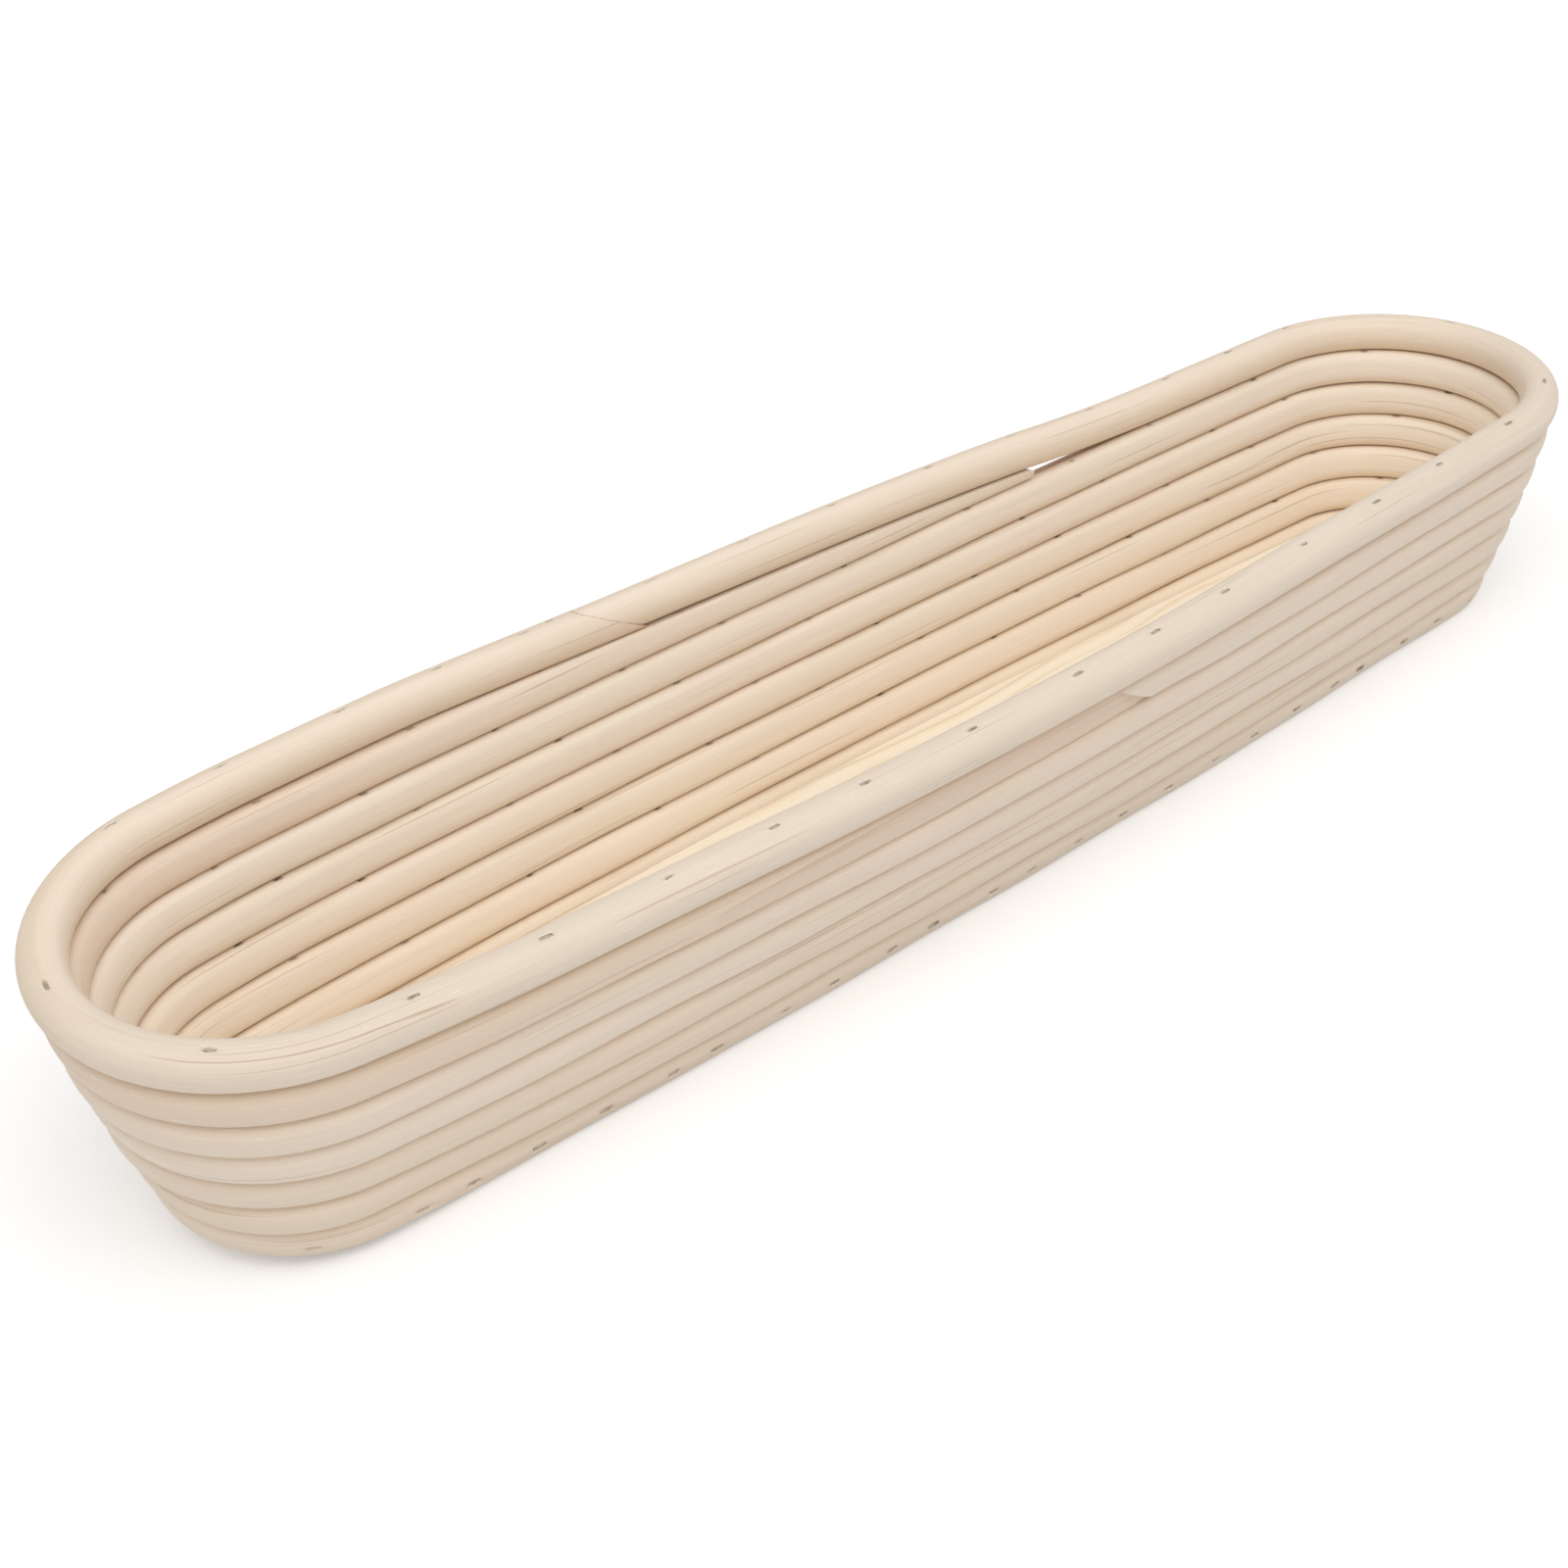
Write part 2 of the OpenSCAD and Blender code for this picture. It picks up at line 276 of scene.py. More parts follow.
    @cached_property
    def start_len(self) -> float:
        """Length of the tapered start, back to where the first climb leaves room for its tip."""
        room = (self.start_tip + self.turn_gap) / self.pitch
        return self.climb_len * (1.0 - eased_at(room))

    @cached_property
    def top_crest(self) -> float:
        """Height up the wall of the top of the last full turn."""
        return (self.turns - 1) * self.pitch + self.cane_d / 2.0

    def along(self, x: float) -> float:
        """Length along a side of the first turn from its middle to x."""
        radius = self.side_r + self.lay
        return radius * math.asin(x / radius)

    def back_q(self, x: float) -> float:
        """Place in a turn of a point on the back."""
        return self.side_len / 2.0 + self.along(x) - self.climb_end

    def front_q(self, x: float) -> float:
        """Place in a turn of a point on the front."""
        return self.front_s + self.side_len / 2.0 - self.along(x) - self.climb_end

    def round_s(self, q: Array) -> Array:
        """Distance round the turn from the back left corner."""
        return np.mod(np.asarray(q, float) + self.climb_end, self.turn_len)

    def stretches(self, q: Array) -> list[Array]:
        """Tell on which stretch of a turn each place is.

        Args:
            q: Places along the winding.

        Returns:
            Whether each place is on the back, on the right end and on the front, in this order.
        """
        s = self.round_s(q)
        back = s < self.side_len
        right = ~back & (s < self.front_s)
        front = ~back & ~right & (s < self.left_s)
        return [back, right, front]

    def on_end(self, q: Array) -> Array:
        """Whether each place is on a round end."""
        back, _, front = self.stretches(q)
        return ~(back | front)

    def normal(self, q: Array) -> Array:
        """Direction of the outward normal.

        Args:
            q: Places along the winding.

        Returns:
            Angles from +X.
        """
        s = self.round_s(q)
        end = 2.0 * self.meet
        side = math.pi - end
        back = math.pi - self.meet - side * s / self.side_len
        right = self.meet - end * (s - self.side_len) / self.end_len
        front = -self.meet - side * (s - self.front_s) / self.side_len
        left = self.meet - math.pi - end * (s - self.left_s) / self.end_len
        return np.select(self.stretches(q), [back, right, front], left)

    def outline(self, q: Array) -> tuple[Array, Array]:
        """Centre and radius of the arc of the board's outline.

        Args:
            q: Places along the winding.

        Returns:
            Centres, as an array of x and y, and radii.
        """
        where = self.stretches(q)
        cx = np.select(where, [0.0, self.end_cx, 0.0], -self.end_cx)
        cy = np.select(where, [-self.side_cy, 0.0, self.side_cy], 0.0)
        radius = np.where(self.on_end(q), self.end_r, self.side_r)
        return joined(cx, cy), radius

    def swell(self, q: Array, rise: Array) -> Array:
        """Swelling of the long sides, which grows evenly with the height up the wall.

        Args:
            q: Places along the winding.
            rise: Heights up the wall.

        Returns:
            Distances outward.
        """
        s = self.round_s(q)
        back = self.back_swell * np.sin(math.pi * s / self.side_len) ** 2
        front = self.front_swell * np.sin(math.pi * (s - self.front_s) / self.side_len) ** 2
        return np.select(self.stretches(q), [back, 0.0, front], 0.0) * rise / self.wall_slant

    def lean(self, rise: Array) -> Array:
        """Lean of the wall at a height up it."""
        return self.lean_base + self.curl * np.asarray(rise, float)

    def axes(self, q: Array, rise: Array) -> tuple[Array, Array, Array]:
        """Directions at points of the wall.

        Args:
            q: Places along the winding.
            rise: Heights up the wall.

        Returns:
            Unit vectors along the cane, up the wall and square out of the wall.
        """
        a = self.normal(q)
        lean = self.lean(rise) + 0.0 * a
        out = joined(np.cos(a), np.sin(a), 0.0)
        up = np.array([0.0, 0.0, 1.0])
        sin, cos = np.sin(lean)[..., None], np.cos(lean)[..., None]
        travel = joined(np.sin(a), -np.cos(a), 0.0)
        return travel, out * sin + up * cos, out * cos - up * sin

    def point(self, q: Array, rise: Array, out: Array) -> Array:
        """Points of the wall.

        Args:
            q: Places along the winding.
            rise: Heights up the wall.
            out: Distances square out of the wall.

        Returns:
            Points in space.
        """
        q = np.asarray(q, float)
        rise = np.asarray(rise, float) + 0.0 * q
        a = self.normal(q)
        lean = self.lean(rise)
        centre, radius = self.outline(q)
        reach = (math.cos(self.lean_base) - np.cos(lean)) / self.curl
        height = (np.sin(lean) - math.sin(self.lean_base)) / self.curl
        radius = radius + self.lay + reach + self.swell(q, rise) + out * np.cos(lean)
        z = self.base_lift + self.cane_d / 2.0 + height - out * np.sin(lean)
        x = centre[..., 0] + radius * np.cos(a)
        y = centre[..., 1] + radius * np.sin(a)
        return joined(x, y, z)

    def in_turn(self, q: Array) -> Array:
        """Place within its turn."""
        return np.mod(q, self.turn_len)

    def climb(self, q: Array) -> Array:
        """How far a turn has climbed onto the next, from 0 to 1."""
        return ease((self.in_turn(q) - self.turn_len + self.climb_len) / self.climb_len)

    def turn_rise(self, q: Array) -> Array:
        """Height up the wall of the winding's middle."""
        q = np.asarray(q, float)
        return np.where(q < 0.0, 0.0, self.pitch * (np.floor(q / self.turn_len) + self.climb(q)))

    def end_thick(self, m: Array) -> Array:
        """Thickness of the tapered end.

        Args:
            m: Places in its turn.

        Returns:
            Thicknesses up the wall.
        """
        part = ramp(0.0, 1.0, (m - self.tip_m + self.taper_len) / self.taper_len)
        bent = self.taper_even * part + (1.0 - self.taper_even) * part ** self.taper_power
        return ramp(self.cane_d, self.tip_t, bent)

    def close_thick(self, q: Array) -> Array:
        """Thickness of the top turns.

        Args:
            q: Places along the winding.

        Returns:
            Thicknesses up the wall.
        """
        q = np.asarray(q, float)
        last = self.turns * self.turn_len
        return np.where(q < last, self.cane_d, self.end_thick(q - last))

    def close_depth(self, q: Array) -> Array:
        """Thickness of the closing cane along its thin end and its shallow cut.

        Args:
            q: Places along the winding.

        Returns:
            Thicknesses out of the wall.
        """
        tail = self.tail_tip + self.lap_slope * (q - self.splice_q + self.lap_len)
        shown = self.cane_d - self.lap_gap - self.splice_t
        cut = ramp(shown, self.cane_d, (q - self.splice_q) / self.scarf_len)
        return np.where(q < self.splice_q, tail, cut)

    def rim_rise(self, q: Array) -> Array:
        """Height of the rim's middle.

        Args:
            q: Places along the winding.

        Returns:
            Heights up the wall.
        """
        m = self.in_turn(q)
        fall = ramp(1.0, 0.0, (m - self.tip_m) / self.rim_fall) ** 2
        tapered = self.top_crest + self.turn_gap + self.end_thick(m)
        falling = self.top_crest + (self.turn_gap + self.tip_t) * fall
        plain = self.top_crest + self.pitch * self.climb(q)
        where = [m <= self.tip_m, m <= self.tip_m + self.rim_fall]
        crest = np.select(where, [tapered, falling], plain)
        return crest + self.rim_gap + self.rim_d / 2.0

    def near_joint(self, q: Array) -> Array:
        """How near the rim's last stretch is to the joint, from 0 to 1."""
        left = self.turn_len - self.in_turn(np.asarray(q, float) - self.joint_m)
        return 1.0 - ease(left / self.joint_blend)


@dataclass(frozen=True)
class Slit:
    """What shows of a staple: a slit in the cane over the middle of its crown."""

    half_len: float
    half_wid: float
    dent: float
    sunk: float
    # Strength of the mark: bruise with painted shade in the slit and round it, raised fibres and a painted
    # glint.
    stain: float
    stray: float


class Hold(Enum):
    """What a group of staples holds."""

    BASE = "base_staples"
    WALL = "wall_staples"
    RIM = "rim_staples"

    @property
    def slit(self) -> Slit:
        """What shows of the staples of this group."""
        return SLITS[self]

    @property
    def seed(self) -> int:
        """Seed of what is uneven in this group."""
        return FIRST_STAPLE_SEED + list(Hold).index(self)


SLITS = {
    Hold.BASE: Slit(half_len=1.5, half_wid=0.45, dent=0.45, sunk=0.28, stain=0.85, stray=3.0),
    Hold.WALL: Slit(half_len=0.9, half_wid=0.4, dent=0.3, sunk=0.28, stain=0.8, stray=5.0),
    Hold.RIM: Slit(half_len=1.4, half_wid=0.42, dent=0.45, sunk=0.28, stain=0.7, stray=4.0),
}


@dataclass(frozen=True)
class Crown:
    """One staple's crown: its place, its angle round the cane, its slit, and how plainly it shows."""

    q: float
    turned: float
    slit: Slit
    plain: float


@dataclass(frozen=True)
class StaplePlan:
    """Sizes of the staples as packed, and their places, each a little off its packed one."""

    plan: WallPlan
    crown_len: float = 4.0
    wire_t: float = 0.6
    wire_w: float = 0.9
    leg_bite: float = 4.0
    base_drop: float = 1.2
    base_spacing: float = 16.0
    base_share: float = 0.6
    wall_spacing: float = 38.0
    wall_inset: float = 2.0
    rim_spacing: float = 28.0
    joint_clear: float = 18.0
    staple_gap: float = 1.0
    faintest: float = 0.35

    @cached_property
    def wall_step(self) -> float:
        """Step of the wall staples, so that each lies midway between two of the turn below."""
        turn = self.plan.turn_len
        return turn / (math.floor(turn / self.wall_spacing) + 0.5)

    def base_places(self) -> Array:
        """Lay out the staples that hold the first turn to the board.

        Returns:
            Places along the winding.
        """
        reach = self.plan.turn_len - self.base_share * self.plan.climb_len
        count = math.floor(reach / self.base_spacing)
        return reach * (np.arange(count) + 0.5) / count

    def wall_places(self) -> Array:
        """Lay out the staples that hold each turn to the one below.

        Returns:
            Places along the winding, none of them in the splice.
        """
        p = self.plan
        count = math.floor((p.tip_q - p.taper_len / 2.0 - p.turn_len) / self.wall_step)
        q = p.turn_len + self.wall_step * (np.arange(count) + 0.5)
        return q[(q < p.full_q) | (q > p.splice_q + p.scarf_len)]

    def rim_places(self) -> Array:
        """Lay out the rim's staples.

        Returns:
            Places along the winding, moved away from a staple of the turn below that they would meet.
        """
        p = self.plan
        run = p.turn_len - 2.0 * self.joint_clear
        count = math.floor(run / self.rim_spacing)
        q = p.joint_m + self.joint_clear + run * np.arange(count + 1) / count
        m = p.in_turn(q)
        below = m + np.where(m <= p.tip_m, p.turns, p.turns - 1) * p.turn_len
        first = p.turn_len + self.wall_step / 2.0
        nearest = first + np.round((below - first) / self.wall_step) * self.wall_step
        room = self.crown_len + self.staple_gap
        moved = q + nearest - below + np.where(below < nearest, -room, room)
        return np.where(np.abs(below - nearest) >= room, q, moved)

    def places(self, hold: Hold) -> Array:
        """Lay out one group.

        Args:
            hold: The group.

        Returns:
            Places along the winding, each strayed a little from its even place.
        """
        layouts = {Hold.BASE: self.base_places, Hold.WALL: self.wall_places, Hold.RIM: self.rim_places}
        even = layouts[hold]()
        stray = hold.slit.stray
        return even + np.random.default_rng(hold.seed).uniform(-stray, stray, len(even))

    def base_angle(self) -> float:
        """Angle round the first turn's section at which its staples go in."""
        drop = math.asin(self.base_drop / (self.plan.cane_d / 2.0))
        return self.plan.lean_base - drop

    def wall_angle(self) -> float:
        """Angle round a turn's section at which the staples of the wall go in."""
        return math.pi - math.acos(self.wall_inset / (self.plan.cane_d / 2.0))

    def crowns(self, hold: Hold) -> list[Crown]:
        """List the crowns of one group.

        Args:
            hold: The group.

        Returns:
            Its crowns, in order along the winding.
        """
        on_top = math.pi / 2.0
        turned = {Hold.BASE: self.base_angle(), Hold.WALL: self.wall_angle(), Hold.RIM: on_top}[hold]
        places = self.places(hold)
        rng = np.random.default_rng(hold.seed + len(Hold))
        plain = rng.uniform(self.faintest, 1.0, len(places))
        return [Crown(float(q), turned, hold.slit, float(share)) for q, share in zip(places, plain)]


class Value:
    """A socket of a shader, with operators that add Math nodes."""

    def __init__(self, graph: "Graph", socket: bpy.types.NodeSocket) -> None:
        """Wrap a socket of a graph."""
        self.graph = graph
        self.socket = socket

    def __add__(self, other: "Value | float") -> "Value":
        """Sum."""
        return self.graph.math("ADD", self, other)

    __radd__ = __add__

    def __mul__(self, other: "Value | float") -> "Value":
        """Product."""
        return self.graph.math("MULTIPLY", self, other)

    __rmul__ = __mul__

    def __sub__(self, other: "Value | float") -> "Value":
        """Difference."""
        return self.graph.math("SUBTRACT", self, other)

    def __rsub__(self, other: float) -> "Value":
        """Difference from a number."""
        return self.graph.math("SUBTRACT", other, self)

    def __pow__(self, other: float) -> "Value":
        """Power."""
        return self.graph.math("POWER", self, other)

    def __abs__(self) -> "Value":
        """Size without its sign."""
        return self.graph.math("ABSOLUTE", self, 0.0)

    def above(self, low: float, high: float) -> "Value":
        """Smooth step from 0 at low to 1 at high."""
        node = self.graph.node("ShaderNodeMapRange", {"interpolation_type": "SMOOTHSTEP"},
                               {"Value": self, "From Min": low, "From Max": high})
        return Value(self.graph, node.outputs["Result"])

    def centred(self) -> "Value":
        """A noise that runs from 0 to 1, moved to lie evenly about 0."""
        return self - 0.5

    def within(self) -> "Value":
        """The value kept between 0 and 1."""
        node = self.graph.node("ShaderNodeClamp", {}, {"Value": self})
        return Value(self.graph, node.outputs[0])


class Graph:
    """Node tree of a material or world, filled by short calls."""

    fine_weight: float = 0.55

    def __init__(self, tree: bpy.types.NodeTree) -> None:
        """Take a tree and empty it."""
        self.tree = tree
        tree.nodes.clear()

    def node(self, kind: str, settings: dict[str, Any],
             inputs: dict[str | int, Any]) -> bpy.types.Node:
        """Add a node.

        Args:
            kind: The node's type.
            settings: Its settings, set first.
            inputs: Values or links of its sockets, by name or number.

        Returns:
            The node.
        """
        node = self.tree.nodes.new(kind)
        for name, setting in settings.items():
            setattr(node, name, setting)
        for key, value in inputs.items():
            if isinstance(value, Value):
                self.tree.links.new(value.socket, node.inputs[key])
            elif isinstance(value, bpy.types.NodeSocket):
                self.tree.links.new(value, node.inputs[key])
            else:
                node.inputs[key].default_value = value
        return node

    def math(self, operation: str, a: Value | float, b: Value | float) -> Value:
        """Add a Math node."""
        node = self.node("ShaderNodeMath", {"operation": operation}, {0: a, 1: b})
        return Value(self, node.outputs[0])

    def blend(self, factor: Value, a: Any, b: Any) -> bpy.types.NodeSocket:
        """Mix two colours or links to colours, by the share of the second."""
        node = self.node("ShaderNodeMix", {"data_type": "RGBA"}, {0: factor, 6: a, 7: b})
        return node.outputs[2]

    def coats(self, colour: Any, coats: list[tuple[Value, Colour]]) -> bpy.types.NodeSocket:
        """Lay colours over one another.

        Args:
            colour: Lowest colour or link.
            coats: Share and colour of each coat, from the lowest up.

        Returns:
            The mixed colour.
        """
        for share, over in coats:
            colour = self.blend(share, colour, over)
        return colour

    def attribute(self, name: str) -> bpy.types.NodeSocket:
        """Vector attribute of a mesh."""
        return self.node("ShaderNodeAttribute", {"attribute_name": name}, {}).outputs["Vector"]

    def place(self) -> bpy.types.NodeSocket:
        """Place in the object's own frame, in metres."""
        return self.node("ShaderNodeTexCoord", {}, {}).outputs["Object"]

    def parts(self, vector: bpy.types.NodeSocket) -> tuple[Value, Value, Value]:
        """The three parts of a vector."""
        node = self.node("ShaderNodeSeparateXYZ", {}, {0: vector})
        return tuple(Value(self, node.outputs[i]) for i in range(3))

    def noise(self, vector: Any, waves: Waves, detail: float = 2.0) -> Value:
        """Noise over a vector that is stretched first.

        Args:
            vector: Link to the vector.
            waves: Waves for each metre along each axis.
            detail: Octaves of detail.

        Returns:
            Noise from 0 to 1.
        """
        stretched = self.node("ShaderNodeVectorMath", {"operation": "MULTIPLY"}, {0: vector, 1: waves})
        node = self.node("ShaderNodeTexNoise", {}, {
            "Vector": stretched.outputs[0], "Scale": 1.0, "Detail": detail,
            "Roughness": self.fine_weight})
        return Value(self, node.outputs["Fac"])

    def surface(self, colour: Any, rough: Value | float, height: Value, bump: float, depth: float,
                specular: float, metallic: float = 0.0) -> None:
        """Finish a material with one principled shader.

        Args:
            colour: Base colour or link.
            rough: Roughness.
            height: Height of the surface's fine relief.
            bump: Strength of that relief.
            depth: Depth of that relief in metres.
            specular: Strength of the plain reflection.
            metallic: Share of metal.
        """
        relief = self.node("ShaderNodeBump", {}, {
            "Strength": bump, "Distance": depth, "Height": height})
        shader = self.node("ShaderNodeBsdfPrincipled", {}, {
            "Base Color": colour, "Roughness": rough, "Normal": relief.outputs[0],
            "Specular IOR Level": specular, "Metallic": metallic})
        self.node("ShaderNodeOutputMaterial", {}, {"Surface": shader.outputs[0]})


def new_material(name: str) -> tuple[bpy.types.Material, Graph]:
    """Start a material.

    Args:
        name: Its name.

    Returns:
        The empty material and the graph that fills it.
    """
    material = bpy.data.materials.new(name)
    material.use_nodes = True
    return material, Graph(material.node_tree)


@dataclass(frozen=True)
class CaneFinish:
    """Bare peeled cane: cream, with fibres along it and faint brown hairlines; the browner grooves and the
    tan beside them are painted shade.

    Waves of a noise are counted for each metre along and across the cane. A span says where a mask starts
    and where it is full, in the unit of what it is taken from: noise from 0 to 1, metres of the grain,
    millimetres across a cut or a split, or shares of a half length or half width, squared for the halo.
    """

    name: str
    pale: Colour = (0.90, 0.80, 0.69, 1.0)
    deep: Colour = (0.75, 0.635, 0.515, 1.0)
    pink: Colour = (0.82, 0.645, 0.515, 1.0)
    warm: Colour = (0.84, 0.67, 0.43, 1.0)
    # Painted shade: soft tan beside the grooves, where one turn shades the next.
    tan: Colour = (0.85, 0.635, 0.40, 1.0)
    # Painted shade: brown lines in the grooves, where the turns meet.
    groove: Colour = (0.44, 0.215, 0.065, 1.0)
    cut: Colour = (0.56, 0.37, 0.25, 1.0)
    # Dark of bruised wood, with painted shade of the hole over a staple.
    bruise_and_hole_shade: Colour = (0.25, 0.16, 0.09, 1.0)
    hairline: Colour = (0.50, 0.33, 0.19, 1.0)
    # Pale of scuffs and raised fibres, also laid as a painted glint on staples' crowns.
    scuff_and_glint: Colour = (0.90, 0.83, 0.74, 1.0)
    streaks: Waves = (28.0, 1900.0, 1900.0)
    fibres: Waves = (90.0, 5200.0, 5200.0)
    bands: Waves = (5.0, 330.0, 330.0)
    blotches: Waves = (16.0, 60.0, 60.0)
    hairs: Waves = (11.0, 1250.0, 1250.0)
    scuffs: Waves = (150.0, 1700.0, 1700.0)
    core_streaks: Waves = (22.0, 1500.0, 1500.0)
    rags: Waves = (900.0, 1900.0, 1900.0)
    glints: Waves = (900.0, 1300.0, 1300.0)
    streak_shade: float = 0.75
    fibre_shade: float = 0.35
    band_shade: float = 0.65
    shade_drop: float = 0.5
    pink_even: float = 0.35
    warm_even: float = 0.45
    # Strength of the painted tan shade beside the grooves, and of its streaks.
    tan_even: float = 0.25
    tan_streak: float = 0.35
    hair_span: Span = (0.66, 0.74)
    hair_share: float = 0.4
    scuff_span: Span = (0.68, 0.78)
    scuff_share: float = 0.5
    cut_span: Span = (-0.05, 0.12)
    core_span: Span = (0.3, 0.7)
    core_top_span: Span = (0.0, 0.0042)
    core_even: float = 0.03
    core_streak: float = 0.14
    core_top: float = 0.2
    core_top_streak: float = 0.45
    split_rag: float = 0.8
    split_side: Span = (0.05, 0.26)
    split_end: Span = (0.6, 1.0)
    split_share: float = 0.65
    rag_along: float = 1.6
    rag_across: float = 2.6
    slit_end: Span = (0.75, 1.1)
    slit_side: Span = (0.6, 1.5)
    slit_share: float = 0.9
    halo_span: Span = (0.5, 3.0)
    halo_flat: float = 0.2
    halo_share: float = 0.25
    lip_end: Span = (0.9, 1.3)
    lip_at: float = 1.9
    lip_side: Span = (0.2, 0.9)
    lip_share: float = 0.8
    glint_span: Span = (0.5, 0.6)
    glint_share: float = 0.7
    rough: float = 0.62
    fibre_rough: float = 0.25
    worn_rough: float = 0.1
    fibre_height: float = 0.55
    streak_height: float = 0.6
    scuff_height: float = 0.25
    hair_height: float = 0.5
    split_height: float = 0.6
    specular: float = 0.3
    bump: float = 0.4
    relief: float = 0.00025

    def material(self) -> bpy.types.Material:
        """Make the material.

        Returns:
            The material, which reads the attributes that Cane writes.
        """
        material, g = new_material(self.name)
        grain = g.attribute("grain")
        # Painted shade in and beside the grooves (brown lines and soft tan), and how far each point lay past
        # a real cut.
        groove, tan, cut = g.parts(g.attribute("painted_shade_and_cut"))
        pink, warm, tone = g.parts(g.attribute("tint"))
        streak = g.noise(grain, self.streaks, detail=3.0)
        fibre = g.noise(grain, self.fibres)
        band = g.noise(grain, self.bands)
        blotch = g.noise(grain, self.blotches)
        hair = g.noise(grain, self.hairs, detail=1.0).above(*self.hair_span)
        scuffed = g.noise(grain, self.scuffs, detail=1.0).above(*self.scuff_span)
        glint = g.noise(grain, self.glints, detail=1.0).above(*self.glint_span)
        is_cut = cut.above(*self.cut_span)
        split = self.split_mask(g, streak)
        slit, halo, lip = self.slit_masks(g, grain)
        shade = streak * self.streak_shade + fibre * self.fibre_shade + band * self.band_shade
        # Besides random wander, the tone holds painted light and shade: it pales or darkens whole sides of a
        # cane.
        shade = shade + tone - self.shade_drop
        colour = g.coats(g.blend(shade.within(), self.pale, self.deep), [
            ((pink * (self.pink_even + blotch)).within(), self.pink),
            # Warmth deep inside the basket is painted bounce light.
            ((warm * (self.warm_even + band)).within(), self.warm),
            # Painted shade: soft tan beside the grooves.
            ((tan * (self.tan_even + self.tan_streak * streak)).within(), self.tan),
            (hair * self.hair_share, self.hairline),
            (scuffed * self.scuff_share, self.scuff_and_glint),
            (is_cut * self.core_mask(g, grain), self.cut),
            # Painted shade: brown lines in the grooves.
            (groove, self.groove),
            (split * self.split_share, self.hairline),
            # Darkening round a staple: bruise and painted shade of its dent.
            (halo * self.halo_share, self.hairline),
            (lip * self.lip_share, self.scuff_and_glint),
            # Dark slit: bruise and painted shade of the hole over the crown.
            (slit * self.slit_share, self.bruise_and_hole_shade),
            # Painted glint on the staple's crown inside the slit.
            (slit * glint * self.glint_share, self.scuff_and_glint),
        ])
        rough = self.rough + self.fibre_rough * fibre.centred() + self.worn_rough * (groove + is_cut)
        raised = fibre * self.fibre_height + streak * self.streak_height + scuffed * self.scuff_height
        height = raised + lip - hair * self.hair_height - slit - split * self.split_height
        g.surface(colour, rough, height, self.bump, self.relief, self.specular)
        return material

    def core_mask(self, g: Graph, grain: bpy.types.NodeSocket) -> Value:
        """Brown of the core where a cut shows it: streaks, stronger towards the top.

        Args:
            g: Graph of the material.
            grain: Place along and across the cane.

        Returns:
            Share of the brown.
        """
        _, _, height = g.parts(grain)
        streak = g.noise(grain, self.core_streaks).above(*self.core_span)
        top = height.above(*self.core_top_span)
        even = self.core_even + self.core_streak * streak * streak
        return even + top * (self.core_top + self.core_top_streak * streak)

    def slit_masks(self, g: Graph, grain: bpy.types.NodeSocket) -> tuple[Value, Value, Value]:
        """Ragged slit over a staple's crown.

        Args:
            g: Graph of the material.
            grain: Place along and across the cane.

        Returns:
            Share of the slit, dark with bruise and painted shade, of the faint darkening round it, from
            bruise and painted shade of the dent, and of the fibres raised along its edges.
        """
        along, across, stain = g.parts(g.attribute("mark"))
        rag = g.noise(grain, self.rags).centred()
        far, near = abs(along + rag * self.rag_along), abs(across + rag * self.rag_across)
        slit = (1.0 - far.above(*self.slit_end)) * (1.0 - near.above(*self.slit_side)) * stain
        halo = (1.0 - (far * far + near * near * self.halo_flat).above(*self.halo_span)) * stain
        beside = 1.0 - abs(near - self.lip_at).above(*self.lip_side)
        lip = (1.0 - far.above(*self.lip_end)) * beside * stain
        return slit, halo, lip

    def split_mask(self, g: Graph, streak: Value) -> Value:
        """Hairline split in the skin of a cane.

        Args:
            g: Graph of the material.
            streak: Noise that makes the line ragged.

        Returns:
            Share of the split.
        """
        run, off, torn = g.parts(g.attribute("split"))
        line = 1.0 - abs(off + streak.centred() * self.split_rag).above(*self.split_side)
        return line * (1.0 - abs(run).above(*self.split_end)) * torn


